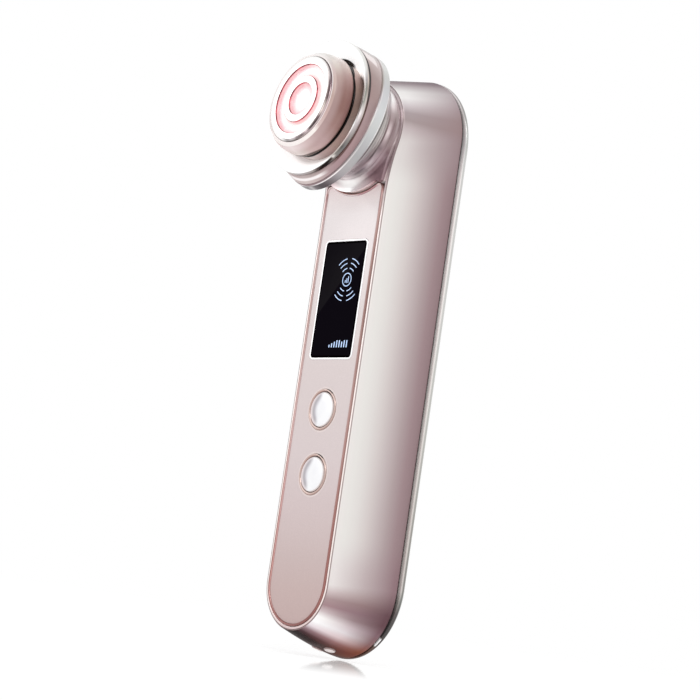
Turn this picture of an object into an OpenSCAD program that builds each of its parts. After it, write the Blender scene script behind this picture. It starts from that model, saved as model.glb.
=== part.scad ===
// Hand-held facial toning device: a slim handset with a tilted, lit treatment head.
// +Z runs up the handle to the head, the front panel faces -Y, and the origin is at the
// bottom centre of the whole device. Millimetres.

/* [Body] */
// Height of the handset
body_h = 200; // [190:1:215]
// Overall width, across the crest of the rear band
body_w = 50.6; // [49:0.2:54]
// How far the rear band stands out from the housing at each side
band_proud = 1.7; // [1.2:0.1:2.2]
// Width of the flat rim round the bezel
rim_land = 1.4; // [1:0.1:2.4]
// Depth of the housing, from the front rim back to the rear joint
housing_d = 23.7; // [22.5:0.1:26]
// Height of the front rim's lowest point above the bottom
rim_lift = 6.4; // [5:0.2:8]
// How full the flanks are between the rim and the rear joint
belly = 1.28; // [1.1:0.02:1.5]
// Wall of the housing
wall = 2; // [1.6:0.1:2.4]
// Depth behind the rim at which the hollow of the housing starts
front_wall = 3.8; // [3.6:0.1:4.4]

/* [Rear] */
// Depth of the dark seal between the housing and the rear band
seal_d = 0.5; // [0.3:0.1:0.8]
// Depth of the rear band
band_d = 1.8; // [1.4:0.1:2.4]
// Depth of the rear cover behind the band
cover_d = 2.6; // [2.2:0.1:3.4]
// How far the flat back's edge lies inside the rear band's crest
back_inset = 4.4; // [3.4:0.2:6]
// Thickness of the rear cover
cover_wall = 1.5; // [1.2:0.1:1.8]

/* [Front panel] */
// Width of the rose bezel round the panel
panel_w = 30; // [29:0.2:30.4]
// Width of the bezel's own band
bezel_t = 0.9; // [0.7:0.1:1.2]
// Radius of the scoop at the panel's top, round the neck
scoop_r = 22.2; // [21.6:0.1:23]
// Rounding of the two horns beside the scoop
horn_r = 2.4; // [1.8:0.1:3]
// Width of the display glass
display_w = 21.1; // [19:0.1:22]
// Height of the display glass
display_h = 39.8; // [36:0.2:42]
// How far the display's centre lies below the head's axis
display_drop = 58.8; // [56:0.2:62]
// Corner radius of the display glass
display_r = 1.1; // [0.6:0.1:2]
// Width of the white surround of the display
surround_t = 0.8; // [0.5:0.1:1]

/* [Buttons] */
// Radius of a button's cap
button_r = 6; // [5.4:0.1:6.4]
// Width of the ring round a button
button_ring_t = 0.95; // [0.8:0.05:1.2]
// How far the upper button lies below the display's centre
button_drop = 37.7; // [34:0.1:40]
// Distance between the two buttons
button_pitch = 22; // [19:0.2:24]
// How far a button travels
button_travel = 0.4; // [0.3:0.05:0.5]
// Running gap round a moving button
button_gap = 0.12; // [0.1:0.02:0.2]

/* [Head] */
// How far below the top of the handset the head's axis meets the plane of the rim
head_drop = 22.6; // [22:0.2:23.6]
// How far the head looks up from straight ahead
head_tilt = 7.1; // [5:0.1:9]
// Reach of the treatment face along the head's axis
face_s = 29.4; // [28.6:0.1:32]
// Radius of the treatment face
face_r = 15.2; // [14.8:0.1:15.6]
// Radius of the drum behind the face
drum_r = 17.9; // [17.5:0.1:18.3]
// Reach of the drum's rear edge
drum_s = 21.3; // [21.1:0.1:21.9]
// Radius of the skirt behind the drum
skirt_r = 17.3; // [17:0.1:17.4]
// Height of the black seal in the groove behind the drum
head_seal_t = 0.6; // [0.4:0.1:0.8]
// Radius of the mirror flange
flange_r = 24; // [23.6:0.1:24.4]
// Reach of the mirror flange's rim
flange_s = 21.8; // [21.5:0.1:22]
// Depth of that rim
flange_rim = 2.1; // [1.8:0.1:2.4]
// Radius of the round boss that carries the head, at the rim
boss_r = 20.2; // [19.8:0.1:20.8]
// How far the boss rises above the head's centre, over which it is flatter than round
boss_rise = 17.3; // [17:0.1:18]

/* [Treatment face] */
// Inner radius of the outer electrode
outer_land_r = 12.2; // [11.8:0.1:12.6]
// Outer radius of the ring electrode
ring_land_r = 8.4; // [8:0.1:8.8]
// Inner radius of the ring electrode
ring_land_in = 5.6; // [5.2:0.1:6]
// Depth of the lit grooves
groove_d = 1.4; // [1.1:0.1:1.6]

/* [Collar] */
// Width of the oval collar
collar_w = 42; // [41:0.2:43]
// Height of the oval collar
collar_h = 51.4; // [50.6:0.2:52.2]
// How far below the head's axis the collar's axis meets that plane
collar_drop = 3.2; // [2.8:0.1:3.8]
// How far the collar's rings look up
collar_tilt = 16; // [15:0.1:17]
// Reach of the seam between the rose collar and the light ring
rose_seam_s = 13.9; // [13.6:0.1:14.3]
// Depth of the light ring
light_ring_d = 4; // [3.6:0.1:4.4]
// Reach of the base ring's rear edge along the head's axis
base_s = 6.9; // [6.6:0.1:7.2]
// Radius of the base ring's rear edge
base_r = 19.2; // [19:0.1:19.5]
// Radius of the neck at its waist
neck_r = 18.2; // [18:0.1:18.5]

/* [Inside] */
// Length of the main board that the battery leaves free at the top
parts_room = 50; // [49:1:60]
// Width of the battery
battery_w = 17; // [14:0.5:18]
// Thickness of the battery
battery_t = 9; // [7.5:0.5:9.5]
// Gap between the main board and the shell's pegs
board_gap = 0.6; // [0.4:0.1:2]
// Height of the main board's lower end above the bottom
board_lift = 28; // [26:1:34]
// How far the main board's top end lies below the head's axis
board_drop = 27.4; // [26.4:0.2:32]
// Thickness of the main board
board_t = 1.2; // [0.8:0.1:1.6]
// Outer radius of the head's core tube
core_r = 14.2; // [13.8:0.1:14.3]
// Wall of the core tube
core_wall = 2.4; // [2:0.1:2.8]
// Half the distance between the charging contacts
contact_x = 4; // [3.6:0.1:4.4]
// Radius of a charging contact
contact_r = 2.2; // [1.8:0.1:2.4]
// Depth of the charging contacts behind the rim
contact_y = 17; // [16.6:0.1:17.6]

/* [Hidden] */

$fn = 96;
slice_t = 0.02;
nip = 0.01;
fit_gap = 0.05;
beyond = 60;

// the housing's own outline
body_half = body_w / 2;
panel_half = panel_w / 2;
rim_half = panel_half + rim_land;
housing_half = body_half - band_proud;
housing_foot = 0.2;
housing_top = body_h + 0.1;
head_z = body_h - head_drop;
rim_top = head_z + boss_rise - nip;
shoulder_drop = 16.1;
shoulder_z = head_z - shoulder_drop;
trim_gap = 0.35;
pocket_d = 1.4;
opening_inset = 0.9;
slice_steps = 7;
crown_steps = 72;
facet_fn = 72;

// the rear
seal_y = housing_d;
band_y = seal_y + seal_d;
crest_in = 0.8;
crest_y = band_y + crest_in;
band_round = 1.2;
cover_foot = 0.75;
cover_y = band_y + band_d;
back_y = cover_y + cover_d;
plug_in = 0.7;
plug_foot = 1.6;
plug_half = housing_half - plug_in;
lip_t = 2.3;

// the head looks along s, its own axis
collar_z = head_z - collar_drop;
face_reach = face_s * cos(head_tilt) + (face_r - 0.6) * sin(head_tilt);
front_y = (face_reach - back_y) / 2;
core_gap = 0.1;
bore_r = core_r + core_gap;
core_in = core_r - core_wall;
core_back = 4;
window_s = face_s - groove_d;
window_t = 0.9;
lamp_t = 0.8;
board_s = window_s - window_t - lamp_t - 0.1;
led_board_t = 1.2;
bulkhead_t = 1.6;
seal_s = drum_s - head_seal_t;
dish_t = 0.6;
dish_back = seam_reach(skirt_r) + 0.02;
dish_s = dish_back + dish_t;
flange_back = flange_s - flange_rim;
rose_bore = skirt_r + 1.2;
drum_step = board_s - 0.1;
oval = collar_w / collar_h;
collar_half = collar_h / 2;
light_s = rose_seam_s - light_ring_d;

// the front panel
display_z = head_z - display_drop;
base_z = rim_lift + rim_half;
horn_x = panel_half - horn_r;
horn_z = head_z - sqrt(pow(scoop_r + horn_r, 2) - pow(horn_x, 2));
horn_share = scoop_r / (scoop_r + horn_r);
panel_y = -0.2;
bezel_y = -0.6;
glass_y = -0.35;
panel_gap = 0.05;

// the buttons and what they press
upper_button_z = display_z - button_drop;
lower_button_z = upper_button_z - button_pitch;
ring_r = button_r + button_gap + button_ring_t;
cap_y = -0.75;
flange_front = pocket_d + 0.1;
flange_t = 0.6;
button_flange_r = button_r + 0.6;
button_well_y = flange_front + flange_t + button_travel + 0.3;
stem_r = 2.8;
plunger_r = 1.7;
plunger_in = 1.2;
stem_y = front_wall + 0.2;
switch_y = stem_y + button_travel + 0.2;
switch_w = 6.2;
switch_bore_in = plunger_in + button_travel;

// the pegs that join the two halves of the shell
peg_r = 1.6;
peg_in = 8.4;
peg_x = housing_half - peg_in;
peg_up = 8;
peg_down = 12;
peg_zs = [base_z + peg_up, shoulder_z - peg_down];
peg_boss_r = 2.6;
peg_hold = 4;
peg_end = housing_d - 7;

// the frame and the board
board_w = 2 * (peg_x - peg_boss_r - board_gap);
frame_t = 1.2;
frame_half = board_w / 2 + 0.4;
frame_y = front_wall;
board_space = 4.2;
board_y = frame_y + board_space;
board_back = board_y + board_t;
board_z = board_lift;
board_top = head_z - board_drop;
board_h = board_top - board_z;
frame_z = board_z - 8;
frame_top = board_top + 6;
frame_screw_in = 3;
frame_screw_zs = [frame_z + frame_screw_in, frame_top - frame_screw_in];
post_r = 2.2;
post_x = board_w / 2 - 2.6;
post_in = 4;
board_screw_in = 3;
post_zs = [board_z + post_in, board_top - post_in];
screw_r = 1;
screw_head_r = 1.8;
screw_head_t = 1.2;
screw_slot_w = 2.4;
screw_slot_d = 1;
screw_slot_t = 0.5;
screw_hole = screw_r + fit_gap;

// the parts on the board: each one's drop is measured from the board's top end
coil_x = -4.5;
coil_drop = 36;
coil_r = 5;
coil_t = 6;
driver_x = board_w / 2 - 9.5;
driver_drop = 42;
driver_w = 7;
driver_t = 4.5;
driver_h = 9;
chip_drop = 23;
chip_w = 8;
chip_t = 1.1;
crystal_x = board_w / 2 - 6;
crystal_drop = 22;
crystal_w = 3;
crystal_t = 1.6;
crystal_h = 5;
pad_xs = [2.5 - board_w / 2, 5.5 - board_w / 2];
pad_drops = [48, 44.5];
bead_w = 2;
bead_t = 1;
bead_h = 1.2;
socket_drop = 7;
socket_t = 1.6;
socket_h = 4;

// the battery in its cradle
battery_lift = 14;
battery_z = board_z + battery_lift;
battery_h = board_top - parts_room - battery_z;
cradle_wall = 1.2;
cradle_gap = 0.2;
cradle_share = 0.7;
battery_y = board_back + cradle_wall;
battery_back = battery_y + battery_t;
pad_t = 1;
pad_side = 3;
pad_end = 4;
rib_w = 10;
rib_t = 1.6;
rib_in = 12;

// the charging contacts
contact_face = 2.4;
block_z = 5;
block_h = 4;
block_half = 6;
block_d = 5;
contact_pin_r = 1.2;
wire_r = 0.6;
wire_up = 8;
wire_z = board_z + wire_up;
stub_z = block_z + block_h + 1;

// the ribbon and the neck's screws
ribbon_w = 8;
ribbon_t = 0.5;
ribbon_slot = 3;
ribbon_sag = 2;
screw_ring_r = 16.4;
neck_screw_angles = [-145, -90, -35];
neck_screw_in = 4;

// colours
champagne = [0.80, 0.74, 0.72];
rose_gold = [0.66, 0.47, 0.44];
blush = [0.87, 0.82, 0.82];
chrome_white = [0.90, 0.90, 0.90];
silver = [0.80, 0.82, 0.83];
taupe = [0.40, 0.34, 0.31];
mauve = [0.62, 0.53, 0.55];

function swell(t) = 1 - pow(1 - t, belly);
// how far along the head's axis the rose seam reaches at its lowest, at radius r
function seam_reach(r) = (rose_seam_s + r * sin(collar_tilt - head_tilt)
  - (head_z - collar_z) * sin(collar_tilt)) / cos(collar_tilt - head_tilt);
function mix(a, b, t) = a + (b - a) * t;

// places
module placed() { translate([0, front_y, 0]) children(); }
module plate(y0, y1) { translate([0, y1, 0]) rotate([90, 0, 0]) linear_extrude(y1 - y0) children(); }
module slab(y) { plate(y, y + slice_t) children(); }
module peg(x, z, r, y0, y1) { translate([x, y1, z]) rotate([90, 0, 0]) cylinder(r = r, h = y1 - y0); }
module on_head() { translate([0, 0, head_z]) rotate([90 - head_tilt, 0, 0]) children(); }
module on_collar() { translate([0, 0, collar_z]) rotate([90 - collar_tilt, 0, 0]) children(); }

// a flat outline with straight sides and round ends
module stadium(half, low, top) {
  translate([0, low + half]) circle(half);
  translate([0, top - half]) circle(half);
  translate([-half, low + half]) square([2 * half, top - low - 2 * half]);
}

// the boss's round end from one side over the top to the other; its upper half rises less than its radius
function crown(r, rise, start) = [for (i = [0 : crown_steps])
  let(a = mix(start, 180 - start, i / crown_steps)) [r * cos(a), (sin(a) > 0 ? rise : r) * sin(a)]];

// the rim's outline: straight sides that open out to the boss round the head
module rim_outline(inset) {
  half = rim_half - inset;
  r = boss_r - inset;
  reach = norm([half, head_z - shoulder_z]);
  a = acos(r / reach) - atan2(head_z - shoulder_z, half);
  stadium(half, rim_lift + inset, shoulder_z + half);
  translate([0, head_z]) polygon(concat([[-half, shoulder_z - head_z], [half, shoulder_z - head_z]],
    crown(r, boss_rise - inset, a)));
}

// the panel's outline: a round foot, straight sides and two horns beside the scoop
module panel_outline(grow) {
  half = panel_half + grow;
  difference() {
    union() {
      translate([0, base_z]) circle(half);
      translate([-half, base_z]) square([2 * half, horn_z - base_z]);
      for (side = [-1, 1]) translate([side * horn_x, horn_z]) circle(horn_r + grow);
      polygon([[-horn_x, horn_z], [horn_x, horn_z],
        [horn_x * horn_share, head_z - (head_z - horn_z) * horn_share],
        [-horn_x * horn_share, head_z - (head_z - horn_z) * horn_share]]);
    }
    translate([0, head_z]) circle(scoop_r - grow);
  }
}

module display_outline(grow) {
  r = display_r + grow;
  w = display_w + 2 * grow;
  h = display_h + 2 * grow;
  translate([0, display_z]) {
    square([w - 2 * r, h], center = true);
    square([w, h - 2 * r], center = true);
    for (x = [-1, 1], z = [-1, 1]) translate([x * (w / 2 - r), z * (h / 2 - r)]) circle(r);
  }
}

// the swelling body of the housing, from depth y0 to depth y1
module flank(inset, y0, y1) {
  hull() for (i = [0 : slice_steps]) {
    y = mix(y0, y1, i / slice_steps);
    share = min(y / housing_d, 1);
    k = swell(share);
    slab(y) stadium(mix(rim_half, housing_half, k) - inset, mix(rim_lift, housing_foot, k) + inset,
      mix(rim_top, housing_top, share) - inset, $fn = facet_fn);
  }
}

// the round boss at its top, which carries the head
module boss(inset, y0, y1) {
  hull() for (i = [0 : slice_steps]) {
    y = mix(y0, y1, i / slice_steps);
    share = min(y / housing_d, 1);
    k = swell(share);
    r = mix(boss_r, housing_half, k) - inset;
    half = mix(rim_half, housing_half, k) - inset;
    centre_z = mix(head_z, housing_top - housing_half, k);
    slab(y) {
      translate([0, centre_z])
        polygon(crown(r, mix(head_z + boss_rise, housing_top, share) - centre_z - inset, -89));
      translate([-half, shoulder_z]) square([2 * half, 1]);
    }
  }
}

module main_housing() {
  color(champagne) placed() difference() {
    union() {
      difference() {
        union() {
          flank(0, 0, housing_d - slice_t);
          boss(0, 0, housing_d - slice_t);
        }
        flank(wall, front_wall, housing_d + 1);
        boss(wall, front_wall, housing_d + 1);
      }
      for (x = [-peg_x, peg_x], z = peg_zs) peg(x, z, peg_boss_r, front_wall - nip, peg_end);
    }
    for (x = [-peg_x, peg_x], z = peg_zs) peg(x, z, peg_r + fit_gap, front_wall, housing_d);
    plate(-1, pocket_d) rim_outline(trim_gap);
    plate(0, front_wall + 1) display_outline(-opening_inset);
    peg(0, head_z, core_in, 0, front_wall + 1);
    for (z = [lower_button_z, upper_button_z]) {
      peg(0, z, button_flange_r + 0.2, 0, button_well_y);
      peg(0, z, stem_r + 0.3, 0, front_wall + 1);
    }
    for (x = [-post_x, post_x], z = frame_screw_zs) peg(x, z, screw_hole, pocket_d + 0.8, front_wall + 1);
    for (a = neck_screw_angles)
      peg(screw_ring_r * cos(a), head_z + screw_ring_r * sin(a), screw_hole, 0, front_wall + 1);
    for (x = [-contact_x, contact_x])
      translate([x, contact_y, -1]) cylinder(r = contact_r + 0.15, h = block_z + 2);
  }
}

module rim_trim() {
  color(chrome_white) placed() plate(0, pocket_d) difference() {
    rim_outline(trim_gap + fit_gap);
    rim_outline(rim_half - panel_half);
  }
}

module panel_bezel() {
  color(rose_gold) placed() difference() {
    plate(bezel_y, pocket_d) panel_outline(-fit_gap);
    plate(bezel_y - 1, pocket_d + 1) panel_outline(-bezel_t);
  }
}

module front_panel() {
  color(blush) placed() difference() {
    plate(panel_y, pocket_d) panel_outline(-bezel_t - panel_gap);
    plate(panel_y - 1, pocket_d + 1) display_outline(surround_t + panel_gap);
    for (z = [lower_button_z, upper_button_z]) peg(0, z, ring_r + panel_gap, panel_y - 1, pocket_d + 1);
  }
}

module display_surround() {
  color(chrome_white) placed() difference() {
    plate(glass_y, pocket_d) display_outline(surround_t);
    plate(glass_y - 1, pocket_d + 1) display_outline(panel_gap);
  }
}

module display_window() {
  color([0.09, 0.08, 0.10]) placed() plate(glass_y, pocket_d) display_outline(0);
}

module display_module() {
  color([0.20, 0.22, 0.24]) placed() plate(pocket_d, front_wall + 0.4) display_outline(-opening_inset - 0.1);
}

module button_ring(z) {
  color(rose_gold) placed() translate([0, 0, z]) rotate([90, 0, 0]) rotate_extrude()
    polygon([[ring_r - button_ring_t, -pocket_d], [ring_r, -pocket_d], [ring_r, 0.35],
      [ring_r - 0.25, 0.6], [ring_r - button_ring_t + 0.3, 0.6], [ring_r - button_ring_t, 0.3]]);
}

module upper_button_ring() { button_ring(upper_button_z); }
module lower_button_ring() { button_ring(lower_button_z); }

// a domed cap with a collar that keeps it behind its ring, and a stem for its switch
module button(z) {
  color([0.95, 0.95, 0.97]) placed() translate([0, 0, z]) rotate([90, 0, 0]) rotate_extrude()
    polygon([[0, -stem_y], [stem_r, -stem_y], [stem_r, -flange_front - flange_t],
      [button_flange_r, -flange_front - flange_t], [button_flange_r, -flange_front],
      [button_r, -flange_front], [button_r, -cap_y - 0.5], [button_r - 0.15, -cap_y - 0.25],
      [button_r - 0.5, -cap_y - 0.08], [button_r - 1.2, -cap_y], [button_r / 2, -cap_y + 0.12],
      [0, -cap_y + 0.16]]);
}

module upper_button() { button(upper_button_z); }
module lower_button() { button(lower_button_z); }

module plunger(z) {
  color([0.15, 0.15, 0.16]) placed() peg(0, z, plunger_r, stem_y, switch_y + plunger_in);
}

module upper_plunger() { plunger(upper_button_z); }
module lower_plunger() { plunger(lower_button_z); }

module tact_switches() {
  color([0.22, 0.22, 0.24]) placed() for (z = [lower_button_z, upper_button_z]) difference() {
    translate([-switch_w / 2, switch_y, z - switch_w / 2]) cube([switch_w, board_y - switch_y, switch_w]);
    peg(0, z, plunger_r + button_gap, switch_y - 1, switch_y + switch_bore_in + 0.3);
  }
}

module inner_frame() {
  color([0.86, 0.86, 0.84]) placed() difference() {
    union() {
      plate(frame_y, frame_y + frame_t) stadium(frame_half, frame_z - 4, frame_top + 2);
      for (x = [-post_x, post_x], z = post_zs) peg(x, z, post_r, frame_y + frame_t - nip, board_y);
    }
    plate(frame_y - 1, frame_y + frame_t + 1) display_outline(-opening_inset);
    for (z = [lower_button_z, upper_button_z])
      translate([-switch_w / 2 - 0.6, frame_y - 1, z - switch_w / 2 - 0.6])
        cube([switch_w + 1.2, frame_t + 2, switch_w + 1.2]);
    for (x = [-post_x, post_x], z = post_zs) peg(x, z, screw_hole, frame_y + 0.6, board_y + 1);
    for (x = [-post_x, post_x], z = frame_screw_zs) peg(x, z, screw_hole, frame_y - 1, frame_y + frame_t + 1);
  }
}

// a round-headed screw along -Y: its head's underside is at depth y
module screw(x, z, y, shank) {
  peg(x, z, screw_r, y - shank, y + nip);
  difference() {
    peg(x, z, screw_head_r, y, y + screw_head_t);
    for (a = [0, 90]) translate([x, y + screw_head_t, z]) rotate([0, a, 0])
      cube([screw_slot_w, screw_slot_d, screw_slot_t], center = true);
  }
}

module frame_screws() {
  color(silver) placed() for (x = [-post_x, post_x], z = frame_screw_zs)
    screw(x, z, frame_y + frame_t, frame_t + front_wall - pocket_d - 1);
}

module main_board() {
  color([0.10, 0.34, 0.22]) placed() difference() {
    translate([-board_w / 2, board_y, board_z]) cube([board_w, board_t, board_h]);
    for (x = [-post_x, post_x], z = post_zs) peg(x, z, screw_hole, board_y - 1, board_back + 1);
  }
}

module board_screws() {
  color(silver) placed() for (x = [-post_x, post_x], z = post_zs)
    screw(x, z, board_back, board_t + board_screw_in);
}

module on_board(x, drop, w, t, h) { translate([x, board_back, board_top - drop]) cube([w, t, h]); }

module board_parts() {
  color([0.16, 0.16, 0.17]) placed() {
    peg(coil_x, board_top - coil_drop, coil_r, board_back, board_back + coil_t);
    on_board(driver_x, driver_drop, driver_w, driver_t, driver_h);
    on_board(-chip_w / 2, chip_drop, chip_w, chip_t, chip_w);
    on_board(crystal_x, crystal_drop, crystal_w, crystal_t, crystal_h);
    for (x = pad_xs, drop = pad_drops) on_board(x, drop, bead_w, bead_t, bead_h);
    translate([-ribbon_w / 2 - 1, board_y - socket_t, board_top - socket_drop])
      cube([ribbon_w + 2, socket_t, socket_h]);
  }
}

module battery_cradle() {
  w = battery_w + 2 * cradle_gap;
  h = battery_h + 2 * cradle_gap;
  color([0.86, 0.86, 0.84]) placed() difference() {
    translate([-w / 2 - cradle_wall, board_back, battery_z - cradle_gap - cradle_wall])
      cube([w + 2 * cradle_wall, cradle_wall + battery_t * cradle_share, h + 2 * cradle_wall]);
    translate([-w / 2, battery_y, battery_z - cradle_gap]) cube([w, battery_t, h]);
  }
}

module battery_cell() {
  r = battery_t / 4;
  color([0.30, 0.42, 0.60]) placed() translate([0, battery_y, battery_z]) {
    translate([-battery_w / 2 + r, 0, 0]) cube([battery_w - 2 * r, battery_t, battery_h]);
    translate([-battery_w / 2, r, 0]) cube([battery_w, battery_t - 2 * r, battery_h]);
    for (x = [-1, 1], y = [r, battery_t - r]) translate([x * (battery_w / 2 - r), y, 0]) cylinder(r = r, h = battery_h);
  }
}

module battery_pad() {
  color([0.25, 0.25, 0.26]) placed()
    translate([-battery_w / 2 + pad_side, battery_back, battery_z + pad_end])
      cube([battery_w - 2 * pad_side, pad_t, battery_h - 2 * pad_end]);
}

module contact_block() {
  color([0.88, 0.88, 0.86]) placed() difference() {
    intersection() {
      translate([-block_half, contact_y - block_d / 2, 0]) cube([2 * block_half, block_d, block_z + block_h]);
      flank(wall + fit_gap, front_wall, housing_d);
    }
    for (x = [-contact_x, contact_x]) translate([x, contact_y, 0]) {
      cylinder(r = contact_r + fit_gap, h = block_z);
      cylinder(r = contact_pin_r + fit_gap, h = block_z + block_h + 1);
    }
  }
}

module charge_contacts() {
  color([0.88, 0.86, 0.82]) placed() for (x = [-contact_x, contact_x]) translate([x, contact_y, 0]) {
    translate([0, 0, contact_face]) cylinder(r = contact_r, h = block_z - contact_face);
    translate([0, 0, block_z - nip]) cylinder(r = contact_pin_r, h = stub_z - block_z + nip);
  }
}

module charge_wires() {
  color([0.70, 0.12, 0.12]) placed() for (x = [-contact_x, contact_x]) {
    translate([x, contact_y, stub_z]) cylinder(r = wire_r, h = wire_z - stub_z);
    translate([x, contact_y, wire_z]) sphere(r = wire_r);
    peg(x, wire_z, wire_r, board_back, contact_y);
  }
}

module rear_seal() {
  color([0.16, 0.13, 0.14]) placed() difference() {
    plate(seal_y, band_y) stadium(housing_half - 0.4, housing_foot + 0.4, housing_top - 0.4);
    plate(seal_y - 1, band_y + 1) stadium(housing_half - lip_t, lip_t + 0.6, body_h - lip_t - 0.6);
  }
}

// a thin rounded ring between the housing and the rear cover
module rear_band() {
  color(chrome_white) placed() difference() {
    hull() {
      slab(band_y) stadium(body_half - band_round, 0.15, body_h - 0.3);
      slab(band_y + 0.3) stadium(body_half - 0.5, 0.05, body_h - 0.1);
      slab(crest_y) stadium(body_half, 0, body_h);
      slab(crest_y + 0.3) stadium(body_half - 0.2, 0.1, body_h - 0.1);
      slab(cover_y - slice_t) stadium(body_half - band_round, 0.7, body_h - 0.7);
    }
    plate(band_y - 1, cover_y + 1) plug_outline(-fit_gap);
  }
}

// the rear cover's plug, which closes the housing inside the rear band
module plug_outline(inset) {
  low = plug_foot + inset;
  stadium(plug_half - inset, low, body_h - low);
}

module rear_cover() {
  color([0.86, 0.82, 0.81]) placed() {
    difference() {
      union() {
        plate(band_y, cover_y + nip) plug_outline(0);
        hull() {
          slab(cover_y) cover_outline(0);
          slab(mix(cover_y, back_y, 0.45)) cover_outline(0.31);
          slab(mix(cover_y, back_y, 0.8)) cover_outline(0.66);
          slab(back_y - slice_t) cover_outline(1);
        }
      }
      plate(band_y - 1, back_y - cover_wall)
        stadium(body_half - back_inset - 0.6, back_inset + 0.6, body_h - back_inset - 0.6);
    }
    for (x = [-peg_x, peg_x], z = peg_zs) {
      peg(x, z, peg_r, peg_end - peg_hold, back_y - cover_wall + nip);
      peg(x, z, peg_boss_r, peg_end, back_y - cover_wall + nip);
    }
    for (z = [battery_z + rib_in, battery_z + battery_h - rib_in])
      translate([-rib_w / 2, battery_back + pad_t, z - rib_t / 2])
        cube([rib_w, back_y - cover_wall - battery_back - pad_t + nip, rib_t]);
  }
}

// the rear cover's outline, from its joint with the band (0) to the flat back (1)
module cover_outline(share) {
  rise = mix(cover_foot, back_inset, share);
  stadium(body_half - mix(band_round + fit_gap, back_inset, share), rise, body_h - rise);
}

// everything that the mirror flange and what lies in front of it takes up
module flange_space() {
  on_head() rotate_extrude() polygon([[0, dish_back], [skirt_r + 0.1, dish_back],
    [flange_r + 0.1, flange_back], [flange_r + 3, flange_back], [flange_r + 3, face_s + 4], [0, face_s + 4]]);
}

module head_bore(r) { on_head() cylinder(r = r, h = face_s + 10); }

// what lies in front of one of the collar's seams
module past_seam(s) { on_collar() translate([0, 0, s]) cylinder(r = beyond, h = beyond); }

// discs square to the collar's axis and to the head's, from reach s0 to reach s1
module oval_disc(s0, s1, inset) {
  on_collar() translate([0, 0, s0]) scale([oval, 1, 1])
    cylinder(r = collar_half - inset, h = s1 - s0, $fn = facet_fn);
}

module round_disc(s0, s1, r) {
  on_head() translate([0, 0, s0]) cylinder(r = r, h = s1 - s0, $fn = facet_fn);
}

// the ground round the neck's foot: the rim's outline above the panel's scoop
module neck_ground() {
  difference() {
    intersection() {
      rim_outline(rim_half - panel_half + fit_gap);
      translate([-boss_r, horn_z - horn_r]) square([2 * boss_r, body_h]);
    }
    panel_outline(fit_gap);
  }
}

module neck_housing() {
  foot_r = boss_r - rim_half + panel_half - 0.1;
  foot_ease = 0.3;
  foot_in = 5;
  color(mauve) placed() difference() {
    union() {
      plate(panel_y, pocket_d) neck_ground();
      intersection() {
        on_head() rotate_extrude() polygon([[0, -foot_in], [foot_r + 2.6, -foot_in], [foot_r + 2.6, 0],
          [foot_r + 1.5, 0.3], [foot_r + 0.5, 1], [foot_r, 1.9], [foot_r, 2.4], [0, 2.4]]);
        plate(-4, panel_y + nip) neck_ground();
      }
      intersection() {
        on_head() rotate_extrude() polygon([[0, -1], [foot_r, -1], [foot_r, 1],
          [mix(foot_r, neck_r, 0.7), 2], [neck_r, 3.4], [mix(neck_r, base_r, 0.3), 4.8],
          [base_r - 0.3, base_s - 0.3], [base_r - 0.1, base_s], [0, base_s]]);
        hull() {
          plate(panel_y, panel_y + nip) translate([0, head_z])
            polygon(crown(foot_r + foot_ease, foot_r + foot_ease - boss_r + boss_rise, -89));
          round_disc(base_s, base_s + 1, base_r);
        }
      }
    }
    past_seam(light_s);
    on_head() translate([0, 0, core_back]) cylinder(r = bore_r, h = face_s);
    on_head() translate([0, 0, -10]) cylinder(r = core_in, h = face_s);
    for (a = neck_screw_angles)
      peg(screw_ring_r * cos(a), head_z + screw_ring_r * sin(a), screw_hole, -neck_screw_in - 0.2, pocket_d + 1);
  }
}

module neck_screws() {
  color(silver) placed() for (a = neck_screw_angles)
    screw(screw_ring_r * cos(a), head_z + screw_ring_r * sin(a), front_wall, front_wall + neck_screw_in);
}

// a wedge that turns the round neck into the oval collar
module base_ring() {
  color(silver) placed() difference() {
    hull() {
      round_disc(base_s, base_s + 0.4, base_r);
      oval_disc(light_s - 0.3, light_s + 0.6, 0.9);
    }
    past_seam(light_s);
    on_head() translate([0, 0, base_s - beyond]) cylinder(r = beyond, h = beyond);
    head_bore(bore_r);
  }
}

module light_ring() {
  color([0.82, 0.84, 0.85]) placed() difference() {
    hull() {
      oval_disc(light_s, rose_seam_s, 0.5);
      oval_disc(light_s + 0.5, rose_seam_s - 0.5, 0);
    }
    head_bore(bore_r);
  }
}

module rose_collar() {
  color(rose_gold) placed() difference() {
    hull() {
      oval_disc(rose_seam_s - 1, rose_seam_s + 1.5, 0.2);
      round_disc(flange_back - 2.2, flange_back - 0.7, flange_r - 0.05);
      round_disc(flange_back - 0.7, flange_back, flange_r - 0.3);
    }
    on_collar() cylinder(r = beyond, h = rose_seam_s);
    head_bore(rose_bore);
    flange_space();
  }
}

// a dished mirror plate round the skirt
module mirror_flange() {
  color([0.93, 0.93, 0.94]) placed() on_head() rotate_extrude() polygon([[bore_r, dish_back],
    [skirt_r, dish_back], [flange_r - 0.1, flange_back], [flange_r, flange_back + 0.2],
    [flange_r, flange_s - 0.3], [flange_r - 0.3, flange_s], [flange_r - 0.6, flange_s - 0.1],
    [skirt_r + 2.8, dish_s + 1.9], [skirt_r + 0.8, dish_s + 0.5], [skirt_r, dish_s], [bore_r, dish_s]]);
}

module head_skirt() {
  color(taupe) placed() on_head() rotate_extrude() polygon([[bore_r, dish_s], [skirt_r, dish_s],
    [skirt_r, seal_s - 0.3], [skirt_r - 0.3, seal_s], [bore_r, seal_s]]);
}

module head_seal() {
  color([0.05, 0.04, 0.05]) placed() on_head() rotate_extrude()
    translate([bore_r, seal_s]) square([drum_r - bore_r - 1.2, head_seal_t]);
}

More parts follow.
